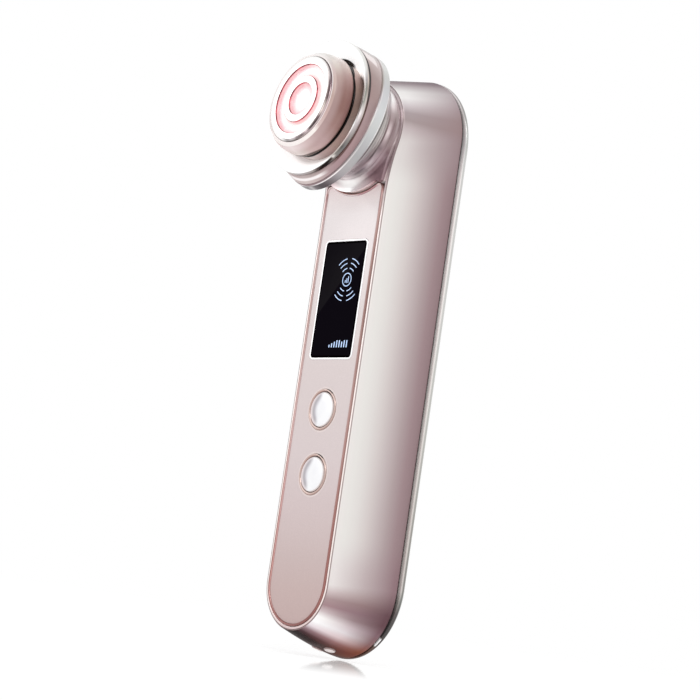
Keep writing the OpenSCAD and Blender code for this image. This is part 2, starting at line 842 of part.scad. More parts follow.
module head_core() {
  bulkhead = board_s - led_board_t - bulkhead_t;
  color([0.84, 0.84, 0.82]) placed() on_head() difference() {
    translate([0, 0, core_back]) cylinder(r = core_r, h = board_s - core_back);
    translate([0, 0, core_back - 1]) cylinder(r = core_in, h = bulkhead - core_back + 1);
    translate([0, 0, board_s - led_board_t]) cylinder(r = core_in, h = 10);
    cube([ribbon_w + 1, ribbon_slot, 4 * face_s], center = true);
  }
}

module head_drum() {
  color([0.68, 0.55, 0.53]) placed() on_head() rotate_extrude() polygon([[bore_r, drum_s],
    [drum_r - 0.2, drum_s], [drum_r, drum_s + 0.2], [drum_r, drum_s + 3.4], [drum_r - 0.25, drum_s + 5],
    [drum_r - 0.7, drum_s + 6.2], [drum_r - 1.3, face_s - 1], [drum_r - 1.8, face_s - 0.6],
    [face_r + 0.25, face_s - 0.45], [face_r + 0.1, face_s - 0.7], [face_r + 0.1, drum_step], [bore_r, drum_step]]);
}

module outer_electrode() {
  foot = board_s;
  color([0.94, 0.94, 0.95]) placed() on_head() rotate_extrude() polygon([[outer_land_r + 0.5, foot],
    [face_r, foot], [face_r, face_s - 0.5], [face_r - 0.15, face_s - 0.2], [face_r - 0.6, face_s],
    [outer_land_r + 0.2, face_s], [outer_land_r, face_s - 0.2], [outer_land_r, window_s],
    [outer_land_r + 0.5, window_s]]);
}

module ring_electrode() {
  color([0.94, 0.94, 0.95]) placed() on_head() difference() {
    union() {
      rotate_extrude() polygon([[ring_land_in, window_s], [ring_land_r, window_s], [ring_land_r, face_s - 0.2],
        [ring_land_r - 0.2, face_s], [ring_land_in + 0.2, face_s], [ring_land_in, face_s - 0.2]]);
      for (a = [0 : 120 : 240]) rotate(a) translate([(ring_land_in + ring_land_r) / 2, 0, board_s])
        cylinder(r = 0.5, h = window_s - board_s + nip, $fn = 24);
    }
  }
}

// a clear plate under the grooves, on a rim that stands on the core
module led_window() {
  color([1, 0.92, 0.92]) placed() on_head() difference() {
    translate([0, 0, board_s]) cylinder(r = outer_land_r + 0.45, h = window_s - board_s);
    translate([0, 0, board_s - 1]) cylinder(r = core_in + 0.1, h = lamp_t + 1.1);
    for (a = [0 : 120 : 240]) rotate(a) translate([(ring_land_in + ring_land_r) / 2, 0, board_s])
      cylinder(r = 0.55, h = 10, $fn = 24);
  }
}

module led_board() {
  color([0.92, 0.92, 0.88]) placed() on_head() translate([0, 0, board_s - led_board_t])
    cylinder(r = core_in - 0.05, h = led_board_t);
}

module led_lamps() {
  color([0.90, 0.20, 0.16]) placed() on_head() {
    for (a = [30 : 60 : 330]) rotate(a) translate([(ring_land_r + outer_land_r) / 2, 0, board_s + lamp_t / 2])
      cube([1.6, 3, lamp_t], center = true);
    for (a = [0 : 120 : 240]) rotate(a + 60) translate([ring_land_in / 2, 0, board_s + lamp_t / 2])
      cube([1.6, 1.6, lamp_t], center = true);
  }
}

// a flat ribbon from the lamp board down the neck to the main board
module ribbon_run(a, b) {
  d = b - a;
  translate([0, a[0], a[1]]) rotate([atan2(d[1], d[0]), 0, 0])
    translate([-ribbon_w / 2, 0, -ribbon_t / 2]) cube([ribbon_w, norm(d), ribbon_t]);
}

module ribbon_bend(p) {
  translate([-ribbon_w / 2, p[0], p[1]]) rotate([0, 90, 0]) cylinder(r = ribbon_t / 2, h = ribbon_w);
}

module head_ribbon() {
  s0 = board_s - led_board_t;
  top = [-s0 * cos(head_tilt), head_z + s0 * sin(head_tilt)];
  mid = [frame_y + 0.4, head_z - ribbon_sag];
  low = [board_y - socket_t / 2, board_top - socket_drop + socket_h + 3 * nip];
  color([0.78, 0.55, 0.20]) placed() {
    ribbon_run(top, mid);
    ribbon_bend(mid);
    ribbon_run(mid, low);
  }
}

main_housing();
rim_trim();
panel_bezel();
front_panel();
display_surround();
display_window();
display_module();
upper_button_ring();
lower_button_ring();
upper_button();
lower_button();
upper_plunger();
lower_plunger();
tact_switches();
inner_frame();
frame_screws();
main_board();
board_parts();
board_screws();
battery_cradle();
battery_cell();
battery_pad();
contact_block();
charge_contacts();
charge_wires();
rear_seal();
rear_band();
rear_cover();
neck_housing();
neck_screws();
base_ring();
light_ring();
rose_collar();
mirror_flange();
head_skirt();
head_seal();
head_core();
head_drum();
outer_electrode();
ring_electrode();
led_window();
led_board();
led_lamps();
head_ribbon();
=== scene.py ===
import math

import bmesh
import bpy
from mathutils import Matrix, Vector


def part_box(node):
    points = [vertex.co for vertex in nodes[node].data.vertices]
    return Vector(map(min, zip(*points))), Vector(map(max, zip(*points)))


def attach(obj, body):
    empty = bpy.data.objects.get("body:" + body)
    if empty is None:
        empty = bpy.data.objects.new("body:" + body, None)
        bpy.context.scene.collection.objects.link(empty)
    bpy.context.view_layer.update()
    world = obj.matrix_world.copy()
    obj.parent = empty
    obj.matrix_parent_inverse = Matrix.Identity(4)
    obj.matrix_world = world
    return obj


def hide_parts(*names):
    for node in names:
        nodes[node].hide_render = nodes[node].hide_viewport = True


print("loading the packed toning device")
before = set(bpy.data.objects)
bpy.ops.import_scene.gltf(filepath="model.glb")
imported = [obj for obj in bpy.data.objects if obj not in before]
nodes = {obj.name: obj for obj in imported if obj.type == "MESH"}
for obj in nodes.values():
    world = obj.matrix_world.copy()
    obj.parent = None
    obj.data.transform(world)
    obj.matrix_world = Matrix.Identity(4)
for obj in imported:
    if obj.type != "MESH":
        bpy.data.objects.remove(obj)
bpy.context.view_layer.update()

# lengths are written in millimetres and brought to metres when a piece is finished
mm = 0.001
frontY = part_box("main_housing")[0].y / mm
headTilt = 7.1
collarTilt = 16.0

handset = {
    "height": 200.0,
    "halfWidth": 25.3,
    "housingHalf": 23.6,
    "housingDepth": 23.7,
    "housingFoot": 0.2,
    "housingTop": 200.1,
    "rimHalf": 16.4,
    "rimFoot": 6.4,
    "bossRadius": 20.2,
    "bossRise": 17.3,
    "shoulder": 161.3,
    "shoulderBend": 8.0,
    "headHeight": 177.4,
    "collarHeight": 174.2,
    "belly": 1.28,
    "wall": 2.0,
}
# these are read by the finishes as well as by the shapes; reach runs forward along the head's axis
panel = {"half": 15.0, "footCentre": 22.8, "hornRadius": 2.4, "scoopRadius": 22.2}
display = {"width": 21.1, "height": 39.8, "centre": 118.6, "corner": 1.1, "front": -0.35}
button = {"radius": 6.0, "ring": 7.07, "ringWidth": 0.95, "upper": 80.9, "lower": 58.9}
collar = {
    "halfWidth": 21.0,
    "halfHeight": 25.7,
    "baseRadius": 19.2,
    "baseReach": 6.9,
    "lightReach": 9.9,
    "roseSeam": 13.9,
}
head = {
    "coreRadius": 14.5,
    "rimRadius": 24.0,
    "rimReach": 20.0,
    "drumRadius": 17.9,
    "faceReach": 29.4,
    "grooveReach": 28.0,
}

# the camera stands in millimetres and turns in degrees
camera = {
    "position": (738.852, -587.82, -19.278),
    "lens": 145.774,
    "sensor": 36,
    "near": 0.05,
    "far": 30,
    "turn": 51.071,
    "rise": -7.3243,
    "roll": 8.395,
}


def cameraAxes():
    turn, rise, roll = (math.radians(camera[key]) for key in ("turn", "rise", "roll"))
    right = Vector((math.cos(turn), math.sin(turn), 0))
    back = Vector((math.sin(turn) * math.cos(rise), -math.cos(turn) * math.cos(rise), math.sin(rise)))
    up = back.cross(right)
    return (right * math.cos(roll) + up * math.sin(roll), up * math.cos(roll) - right * math.sin(roll), back)


def setCamera():
    data = bpy.data.cameras.new("studioCamera")
    data.lens = camera["lens"]
    data.sensor_width = camera["sensor"]
    data.clip_start = camera["near"]
    data.clip_end = camera["far"]
    view = bpy.data.objects.new("studioCamera", data)
    axes = cameraAxes()
    view.matrix_world = Matrix.Translation(Vector(camera["position"]) * mm) @ Matrix(
        [[axis[row] for axis in axes] for row in range(3)]
    ).to_4x4()
    bpy.context.scene.collection.objects.link(view)
    bpy.context.scene.camera = view
    bpy.context.scene.view_settings.view_transform = "Standard"


setCamera()


# finishes
def tone(code):
    # a colour as it reads on screen, brought to linear light
    parts = [int(code[i : i + 2], 16) / 255 for i in (0, 2, 4)]
    return tuple(p / 12.92 if p <= 0.04045 else ((p + 0.055) / 1.055) ** 2.4 for p in parts) + (1.0,)


class Wave:
    # a value that varies over a surface; each operation on it adds a Math node
    def __init__(self, owner, socket):
        self.owner = owner
        self.socket = socket

    def math(self, kind, other=None, turned=False):
        pair = (other, self) if turned else (self, other)
        links = {0: pair[0]} if other is None else {0: pair[0], 1: pair[1]}
        return self.owner.node("ShaderNodeMath", {"operation": kind}, links)

    def __add__(self, other):
        return self.math("ADD", other)

    def __radd__(self, other):
        return self.math("ADD", other)

    def __sub__(self, other):
        return self.math("SUBTRACT", other)

    def __rsub__(self, other):
        return self.math("SUBTRACT", other, True)

    def __mul__(self, other):
        return self.math("MULTIPLY", other)

    def __rmul__(self, other):
        return self.math("MULTIPLY", other)

    def __truediv__(self, other):
        return self.math("DIVIDE", other)

    def __rtruediv__(self, other):
        return self.math("DIVIDE", other, True)

    def __pow__(self, other):
        return self.math("POWER", other)


class Nodes:
    # a node tree and the one way to add nodes to it
    def __init__(self, tree):
        self.tree = tree

    def node(self, kind, settings=None, links=None, out=0):
        made = self.tree.nodes.new(kind)
        for key, value in (settings or {}).items():
            if key == "stops":
                stops = made.color_ramp.elements
                for stop, (place, colour) in zip(stops, (value[0], value[-1])):
                    stop.position, stop.color = place, colour
                for place, colour in value[1:-1]:
                    stops.new(place).color = colour
            else:
                setattr(made, key, value)
        for key, value in (links or {}).items():
            if isinstance(value, Wave):
                self.tree.links.new(value.socket, made.inputs[key])
            else:
                made.inputs[key].default_value = value
        return Wave(self, made.outputs[out]) if made.outputs else None

    def step(self, value, low, high, smooth=True):
        # a rise from 0 at low to 1 at high
        settings = {"interpolation_type": "SMOOTHSTEP" if smooth else "LINEAR"}
        return self.node("ShaderNodeMapRange", settings, {"Value": value, 1: low, 2: high})


class Finish(Nodes):
    # a material; its fixed values are written with their sockets' names
    def __init__(self, name, **sockets):
        self.material = bpy.data.materials.new(name)
        self.material.use_nodes = True
        super().__init__(self.material.node_tree)
        self.shader = self.tree.nodes["Principled BSDF"]
        for socket, value in sockets.items():
            self.shader.inputs[socket.replace("_", " ")].default_value = value

    def feed(self, socket, wave):
        self.tree.links.new(wave.socket, self.shader.inputs[socket])

    def place(self, origin=(0, 0, 0), turn=0.0):
        # the point in millimetres, in a frame that stands at origin, turned about X
        spot = self.node("ShaderNodeTexCoord", out="Object")
        spot = self.node(
            "ShaderNodeMapping",
            {"vector_type": "TEXTURE"},
            {
                "Vector": spot,
                "Location": Vector(origin) * mm,
                "Rotation": (math.radians(turn), 0, 0),
                "Scale": (mm,) * 3,
            },
        )
        parts = [self.node("ShaderNodeSeparateXYZ", links={0: spot}, out=axis) for axis in range(3)]
        return spot, *parts

    def facing(self):
        way = self.node("ShaderNodeTexCoord", out="Normal")
        return [self.node("ShaderNodeSeparateXYZ", links={0: way}, out=axis) for axis in range(3)]

    def band(self, value, low, high, soft):
        # 1 between low and high, 0 outside
        return self.step(value, low - soft, low) * (1 - self.step(value, high, high + soft))

    def ramp(self, value, stops):
        # a colour at the place of each stop, blended evenly from one to the next
        low, high = stops[0][0], stops[-1][0]
        made = [((place - low) / (high - low), tone(code)) for place, code in stops]
        return self.node("ShaderNodeValToRGB", {"stops": made}, {0: self.step(value, low, high, False)})

    def blend(self, factor, first, second):
        pair = [tone(colour) if isinstance(colour, str) else colour for colour in (first, second)]
        return self.node("ShaderNodeMix", {"data_type": "RGBA"}, {0: factor, 6: pair[0], 7: pair[1]}, 2)

    def tinted(self, colour, amount, level):
        # the colour made lighter or darker by a share of the wave around its middle
        scales = (1 - amount / 2, 1 + amount / 2)
        if isinstance(colour, str):
            *parts, alpha = tone(colour)
            pair = [tuple(part * scale for part in parts) + (alpha,) for scale in scales]
        else:
            pair = [self.node("ShaderNodeVectorMath", {"operation": "SCALE"}, {0: colour, 3: scale})
                    for scale in scales]
        return self.blend(level, *pair)

    def grain(self, spot, size, detail=3.0, stretch=(1, 1, 1)):
        # noise whose cells are about size millimetres, drawn out by stretch
        cells = [1 / (size * share) for share in stretch]
        drawn = self.node("ShaderNodeMapping", links={"Vector": spot, "Scale": cells})
        return self.node("ShaderNodeTexNoise", links={"Vector": drawn, "Scale": 1.0, "Detail": detail})

    def bump(self, height, depth):
        # relief of about depth millimetres
        return self.node("ShaderNodeBump", links={"Strength": 1.0, "Distance": depth * mm, "Height": height})

    def surface(self, colour, tint, roughness, spread, level):
        # closes a material whose colour and roughness are both a little uneven
        self.feed("Base Color", self.tinted(colour, tint, level))
        self.feed("Roughness", roughness + spread * level)
        return self.material


def distance(a, b):
    return (a * a + b * b).math("SQRT")


def degreesFrom(across, up):
    # the angle by which a point or a way is turned up, from level out to one side
    return up.math("ARCTAN2", across) * math.degrees(1)


def headPlace(finish, collar=False):
    # a point in the head's own frame: how far across, its radius, how far it is turned up, its reach forward
    height, tilt = ("collarHeight", collarTilt) if collar else ("headHeight", headTilt)
    spot, x, y, reach = finish.place((0, frontY, handset[height]), 90 - tilt)
    return spot, x, distance(x, y), degreesFrom(x.math("ABSOLUTE"), y), reach


def buttonLevel(finish, z):
    # the height of the middle of the nearer button
    low, high = button["lower"], button["upper"]
    middle = (low + high) / 2
    return finish.step(z, middle - 0.1, middle) * (high - low) + low


def satinBody():
    look = {"roughness": 0.34, "metallic": 0.6, "footMetal": 0.14}
    brush = {"tint": 0.02, "roughness": 0.05, "depth": 0.0006}
    f = Finish("champagneSatin", Metallic=look["metallic"], Specular_Tint=tone("8A8284"))
    spot, _, y, z = f.place()
    nx, ny, nz = f.facing()
    depth = (y - frontY) / handset["housingDepth"]
    lean = degreesFrom(nx.math("ABSOLUTE"), nz)
    # painted shade: the flank is lighter near the rim and darker towards the rear
    side = f.ramp(depth, [
        (0.0, "EAE5E2"), (0.12, "E7E4E0"), (0.25, "E1DCD9"), (0.4, "D5CCCA"), (0.55, "C4B7B7"),
        (0.7, "B1A0A1"), (0.85, "A0898C"), (1.0, "937C7F")])
    # the rounded foot, by how far it faces down: near the rim, and near the rear joint; its white band is a
    # painted highlight, its dark and copper bands painted shade and reflection
    drop = 0 - lean
    footRim = f.ramp(drop, [
        (-4, "EAE7E4"), (0, "EAE4E2"), (8, "CEBEBE"), (16, "AB9495"), (24, "A5888C"), (32, "CEBEC0"),
        (40, "FCFAF8"), (48, "FFFFFF"), (56, "F0E6EA"), (64, "9C8086"), (72, "5B4347"), (80, "3C292C"),
        (92, "22100F")])
    footSide = f.ramp(drop, [
        (-4, "C8BBBB"), (0, "C1B2B3"), (8, "AF9C9C"), (16, "967D7E"), (24, "8F747A"), (32, "9B8588"),
        (40, "D0C1C5"), (48, "E6DFE2"), (56, "E1CDCE"), (64, "A17979"), (72, "6F4A48"), (80, "51302A"),
        (92, "46292A")])
    footRear = f.ramp(drop, [
        (-4, "9A8588"), (0, "957A7F"), (10, "80666A"), (20, "694D53"), (30, "684B51"), (40, "84686F"),
        (50, "8C6B6C"), (57, "93625B"), (64, "8E533D"), (72, "874832"), (80, "8C5033"), (92, "5E3A30")])
    foot = f.blend(f.step(depth, 0.06, 0.5, False), footRim, footSide)
    foot = f.blend(f.step(depth, 0.5, 0.93, False), foot, footRear)
    # the rounded top, by how far it faces up: a band of painted highlight, with painted shade towards its
    # edge
    topRim = f.ramp(lean, [
        (-14, "DDD6D4"), (0, "C4B6B7"), (9, "AA9B9B"), (19, "AFA1A3"), (29, "D6CCCE"), (40, "F8F5F4"),
        (50, "FCFAF8"), (60, "E2DBDC"), (70, "B9A9AD"), (80, "A3959A"), (92, "6E5A60")])
    topRear = f.ramp(lean, [
        (-14, "A28D90"), (0, "9F8A8D"), (10, "9E8788"), (20, "A08A8B"), (30, "AC999C"), (40, "BDAEB1"),
        (50, "C9BEC0"), (60, "BEB1B4"), (70, "95828A"), (80, "6F5C64"), (92, "4A3A42")])
    top = f.blend(f.step(depth, 0.12, 0.95, False), topRim, topRear)
    colour = f.blend(1 - f.step(z, 26, 40), side, foot)
    colour = f.blend(f.step(z, 158, 172), colour, top)
    # the flat land round the trim stays dark like a joint line
    colour = f.blend(f.step(ny, -0.75, -0.95), colour, "968684")
    brushed = f.grain(spot, 0.22, 2.0, (1, 1, 60))
    f.feed("Base Color", f.tinted(colour, brush["tint"], brushed))
    f.feed("Roughness", look["roughness"] + (brushed - 0.5) * brush["roughness"])
    under = (1 - f.step(depth, 0.3, 0.5)) * f.step(drop, 62, 80)
    f.feed("Metallic", look["metallic"] + under * look["footMetal"])
    f.feed("Normal", f.bump(brushed, brush["depth"]))
    return f.material


def frameWhite():
    f = Finish("displayFrame", Metallic=0.75)
    spot = f.place()[0]
    # painted shade: faces turned down are a little darker
    colour = f.blend(f.step(f.facing()[2], 0.1, -0.9), "F6F4F5", "E9E6E8")
    f.feed("Base Color", f.tinted(colour, 0.05, f.grain(spot, 3.0, stretch=(1, 1, 6))))
    f.feed("Roughness", 0.2 + 0.05 * f.grain(spot, 0.8))
    return f.material


def rimWhite():
    # painted reflection and shade: white along the grip, soft mauve round the boss and the foot, the sides
    # darker than the front
    f = Finish("whiteTrim", Metallic=0.3)
    spot, _, _, z = f.place()
    crown = f.ramp(z, [
        (4, "C9B2B4"), (10, "E6D2CF"), (16, "FCECE9"), (30, "FFF4F0"), (100, "FDF0ED"), (150, "F8ECEA"),
        (157, "DACACB"), (162, "A99497"), (168, "9E8C8E"), (176, "B6A6A9"), (182, "CDBDC0"),
        (190, "DACFD1"), (195, "DAD7D7")])
    sides = f.ramp(z, [
        (4, "6E5658"), (10, "87696C"), (16, "75585A"), (22, "93797A"), (30, "AB9B98"), (60, "BBABA8"),
        (100, "C9BAB8"), (150, "C0B0AE"), (158, "A08C8E"), (164, "918082"), (176, "9F8D8F"),
        (184, "B5A6A9"), (192, "D2C4C8")])
    colour = f.blend(f.step(f.facing()[1], -0.92, -0.72), crown, sides)
    fine = f.grain(spot, 3.0, stretch=(1, 1, 6))
    return f.surface(colour, 0.04, 0.16, 0.05, fine)


def bandChrome():
    # painted reflection: white beside the flank with a grey crest, darkening round the foot, with a painted
    # glint low on the front
    f = Finish("bandChrome", Metallic=0.3)
    spot, x, y, z = f.place()
    depth = y - frontY
    footCentre = handset["halfWidth"]
    lean = degreesFrom(x.math("ABSOLUTE"), z.math("MINIMUM", footCentre) - footCentre)
    front = f.ramp(z, [
        (25, "D2CBC7"), (43, "DAD3CE"), (80, "E8E3DF"), (120, "F4EFEC"), (165, "F9F4F2"), (177, "CFCDCD"),
        (188, "C2BCBB"), (194, "E5DEDE"), (199, "C0B8B9")])
    crest = f.ramp(z, [
        (25, "8A8783"), (43, "9C9994"), (80, "BEBDB8"), (120, "CCCBC8"), (170, "CBCAC8"), (180, "B9BAB7"),
        (188, "A09E9C"), (194, "969291"), (199, "B5B0B0")])
    lowFront = f.ramp(lean, [
        (-90, "7C6A64"), (-82, "6A453A"), (-70, "4A2A22"), (-60, "5C4034"), (-52, "6C5A52"),
        (-40, "444040"), (-30, "4B4948"), (-20, "625858"), (-10, "98948F"), (-3, "C9C4C0")])
    lowCrest = f.ramp(lean, [
        (-90, "5A4238"), (-70, "46301F"), (-60, "54362C"), (-50, "3A2D2C"), (-40, "494544"),
        (-30, "4E4A49"), (-20, "5C5656"), (-10, "787A76"), (-3, "8A8783")])
    glint = f.band(lean, -51, -45, 2.5) * (1 - f.step(depth, 24.45, 24.7))
    lowFront = f.blend(glint, lowFront, "FFFFFF")
    low = f.step(lean, -1.5, -4.0)
    front = f.blend(low, front, lowFront)
    crest = f.blend(low, crest, lowCrest)
    outer = f.ramp(lean, [
        (-90, "A08C7E"), (-70, "94816F"), (-50, "6E5C5A"), (-40, "625C5C"), (-30, "928D8C"),
        (-20, "B4B1B0"), (-10, "CCCDC8"), (0, "E8E7E4")])
    colour = f.blend(f.step(depth, 24.42, 24.62), front, crest)
    colour = f.blend(f.step(depth, 25.02, 25.25), colour, outer)
    level = f.grain(spot, 1.2, stretch=(1, 1, 20))
    return f.surface(colour, 0.05, 0.14, 0.06, level)


def roseBezel():
    # painted light and shade: paler towards the head and along its inner lip, redder at the foot, and the
    # crown, inner lip and outer side each shaded differently
    line = {"scoopRadius": 22.66, "hornZ": 156.3, "hornRadius": 1.62}
    f = Finish("roseBezel", Metallic=0.35)
    spot, x, _, z = f.place()
    out = f.facing()[0] * x.math("SIGN")
    crown = f.ramp(z, [
        (8, "8A5854"), (16, "8A5853"), (27, "905D58"), (47, "A27670"), (80, "B6948F"), (100, "AC8A84"),
        (120, "A4817B"), (135, "B0908A"), (145, "BE9F9A"), (152, "AC807E"), (158, "6E464A")])
    inner = f.ramp(z, [
        (8, "C49692"), (27, "DBA8A2"), (47, "DCB0AC"), (80, "DCBCB9"), (120, "C6AAA6"), (145, "DFC8C6"),
        (156, "C9A6A4")])
    outer = f.ramp(z, [
        (8, "A8706A"), (40, "A06E68"), (80, "B08D87"), (100, "A07E78"), (120, "906E68"), (135, "A3817B"),
        (145, "B6958F"), (153, "C8A8A4"), (157, "EAD0CE")])
    colour = f.blend(1 - f.step(out, -0.75, -0.3), crown, inner)
    colour = f.blend(f.step(out, 0.45, 0.85), colour, outer)
    # painted shade: a thin dark line runs along the scoop and over the top of both horns; below it and on
    # the horns' inner edge the band is paler
    reach = distance(x, z - handset["headHeight"])
    dark = f.ramp(x, [
        (-13, "8A5850"), (-8, "96685F"), (-2, "875A52"), (6, "885951"), (11.5, "6A3D36"), (13, "4E2B27")])
    below = f.ramp(x, [(-12, "E6D8D8"), (0, "E0D0D0"), (4, "BC9296"), (11, "B4878C"), (12.6, "D8BFBF")])
    scoop = f.blend(f.step(reach, line["scoopRadius"], line["scoopRadius"] + 0.18), dark, below)
    aside = x.math("ABSOLUTE") - (panel["half"] - panel["hornRadius"])
    above = z - line["hornZ"]
    ring = f.step(distance(aside, above), line["hornRadius"], line["hornRadius"] + 0.2)
    horn = f.blend(f.step(above, -1.4, 1.5), "BC908A", "4E2A26")
    horn = f.blend(ring, "E9D4D2", horn)
    colour = f.blend((1 - f.step(reach, 23.1, 23.3)) * f.step(z, 150, 152), colour, scoop)
    colour = f.blend(f.step(aside, -1.2, -0.4) * f.step(above, -2.4, -0.6), colour, horn)
    f.feed("Base Color", f.tinted(colour, 0.06, f.grain(spot, 1.2, stretch=(1, 1, 12))))
    f.feed("Roughness", 0.2 + 0.08 * f.grain(spot, 0.5))
    return f.material


def blushPanel():
    f = Finish("blushPanel", Specular_IOR_Level=0.3, Coat_Weight=0.3, Coat_Roughness=0.05)
    spot, x, _, z = f.place()
    # painted light and shade: the panel is darker towards the foot and lighter towards the head
    colour = f.ramp(z, [
        (8, "BFA6A3"), (20, "C3ACA9"), (30, "C6B2B0"), (40, "CCBAB9"), (50, "D0BFBF"), (65, "D5C7C7"),
        (95, "D7CAC9"), (118, "DCD1D0"), (140, "EBE2E2"), (148, "F0E8E8"), (153, "EFE4E3"), (158, "EAD9D8")])
    # the panel turns down a little pinker beside its trim
    colour = f.blend(f.step(x.math("ABSOLUTE"), 13.4, 14.9) * 0.5, colour, "C09C9C")
    # a paler halo lies round each button's ring
    halo = f.band(distance(x, z - buttonLevel(f, z)), 7.1, 7.5, 0.4)
    colour = f.blend(halo * 0.7, colour, "E8DAD6")
    return f.surface(colour, 0.03, 0.24, 0.06, f.grain(spot, 0.18, 2.0))


def displayGlass():
    f = Finish("displayGlass", Specular_IOR_Level=0.0, Roughness=0.06)
    spot, x, _, z = f.place()
    # a faint broad sheen lies over the upper left, cut off on the slant
    slant = z - x * 1.1
    sheen = f.step(slant, 124.3, 125.0) * (1 - 0.6 * f.step(slant, 125.0, 148.0))
    haze = f.grain(spot, 9.0, stretch=(1, 1, 2))
    colour = f.blend(sheen * (0.6 + haze * 0.5), "0E0B11", "1B191C")
    # a black printed border
    halfWidth, halfHeight = display["width"] / 2, display["height"] / 2
    edge = f.step(x.math("ABSOLUTE"), halfWidth - 0.7, halfWidth - 0.5)
    edge += f.step((z - display["centre"]).math("ABSOLUTE"), halfHeight - 0.7, halfHeight - 0.5)
    f.feed("Base Color", f.blend(edge.math("MINIMUM", 1.0), colour, "020102"))
    return f.material


def pearlCap():
    f = Finish("pearlCap", Specular_IOR_Level=0.4, Coat_Weight=0.3, Coat_Roughness=0.04)
    spot, x, y, z = f.place()
    colour = f.blend(f.step(f.grain(spot, 6.0), 0.35, 0.7), "F8F8FA", "F3F3F6")
    # painted shade: a lilac crescent down the dome's left, then a pale shoulder all round; the sides sunk in
    # the ring are painted dark
    up = z - buttonLevel(f, z)
    crescent = f.ramp(distance(x - 1.2, up), [
        (0, "F7F8FA"), (2.6, "F4F5F7"), (3.5, "E7E6EB"), (4.1, "D1CED3"), (4.6, "B8B2B9"), (5.2, "ADA8AC"),
        (5.8, "D2C9CC"), (6.4, "E9DBDC"), (7.2, "DCCCCB")])
    colour = f.blend(f.step(up * 0.1 - x, 0.0, 2.4), colour, crescent)
    colour = f.blend(f.step(distance(x, up), 5.45, 5.75) * f.step(x, -2.0, 1.0), colour, "DDD3D0")
    colour = f.blend(f.step(y - frontY, -0.5, -0.1), colour, "9A8C90")
    f.feed("Base Color", colour)
    f.feed("Roughness", 0.16 + 0.08 * f.grain(spot, 0.3))
    return f.material


def gildedRing():
    f = Finish("buttonRing", Metallic=0.5)
    spot, x, _, z = f.place()
    _, ny, nz = f.facing()
    # painted light and shade: paler where the ring faces up, darker where it turns away from the front
    colour = f.blend(f.step(nz, -0.7, 0.7), "B5978F", "D3BDB5")
    colour = f.blend(f.step(ny, -0.6, 0.0), colour, "9C8884")
    # the lip turns dark where it faces away from the light
    away = degreesFrom(x, z - buttonLevel(f, z))
    colour = f.blend(f.band(away, 56, 76, 8) * f.step(ny, -0.99, -0.7), colour, "140A0B")
    f.feed("Base Color", f.tinted(colour, 0.06, f.grain(spot, 1.0)))
    f.feed("Roughness", 0.18 + 0.06 * f.grain(spot, 0.4))
    return f.material


def turnedFinish(name, stops, collar=False, **sockets):
    # colour by how far a point of the head is turned up, from straight down to straight up
    f = Finish(name, **sockets)
    spot, _, _, turned, reach = headPlace(f, collar)
    return f, f.ramp(turned, stops), turned, reach, f.grain(spot, 0.25, 2.0)


def drumGloss():
    # painted reflection and shade: the drum is lighter over its top and bottom and darker on its sides
    f, colour, turned, reach, fine = turnedFinish("drumGloss", [
        (-90, "D4C6C2"), (-80, "C4B3AE"), (-70, "BCA29F"), (-58, "B69A99"), (-48, "B29594"),
        (-40, "A78986"), (-30, "9A7873"), (-20, "93726C"), (-10, "8A655E"), (0, "8B6660"), (10, "926F69"),
        (20, "A0807B"), (30, "B09490"), (40, "C6B2AB"), (50, "D3C3BD"), (60, "EFE6E3"), (72, "FCFAF8"),
        (90, "F0EAE6")], Specular_IOR_Level=0.3)
    # painted shade and highlight: the rear part is deeper, the rounded front shoulder paler, and a painted
    # highlight line runs round the front edge
    rear = f.ramp(turned, [
        (-90, "E2D4CE"), (-70, "B9A09D"), (-50, "A98987"), (-40, "927470"), (-30, "835F59"),
        (-20, "7A5350"), (0, "7C5551"), (10, "87605B"), (20, "997470"), (30, "A9857F"), (40, "BBA69E"),
        (50, "D2BCB4"), (62, "A08884"), (90, "F0EAE6")])
    colour = f.blend(1 - f.step(reach, 22.0, 24.0, False), colour, rear)
    shoulder = f.ramp(turned, [
        (-90, "E8D9D8"), (-80, "E2D0D0"), (-66, "D2BBBA"), (-50, "BEA3A2"), (-30, "AE9290"),
        (-10, "A98D8A"), (10, "AC908C"), (25, "BEA59F"), (40, "DDD0C8"), (50, "EBE0DA"), (60, "E4DED9"),
        (90, "FBF8F6")])
    colour = f.blend(f.step(reach, 24.8, 27.4), colour, shoulder)
    line = f.ramp(turned, [
        (-90, "F6EEEC"), (-46, "F8F1EC"), (-38, "D6C0BC"), (-20, "C8ABA6"), (0, "BDA39C"), (20, "CCB5AE"),
        (36, "D6C2BF"), (50, "DED5D1"), (66, "F2EDEA"), (90, "FAF8F7")])
    colour = f.blend(f.band(reach, 28.25, 28.75, 0.25), colour, line)
    colour = f.blend(f.step(reach, 28.75, 28.95), colour, "FBF2F1")
    # painted shade: a dark line along the drum's rear edge, in the gap by the seal
    dark = (1 - f.step(reach - f.step(turned, -54, -78) * 1.1, 21.5, 22.3)) * (1 - f.step(turned, 28, 52))
    colour = f.blend(dark, colour, "43291F")
    return f.surface(colour, 0.04, 0.26, 0.06, fine)


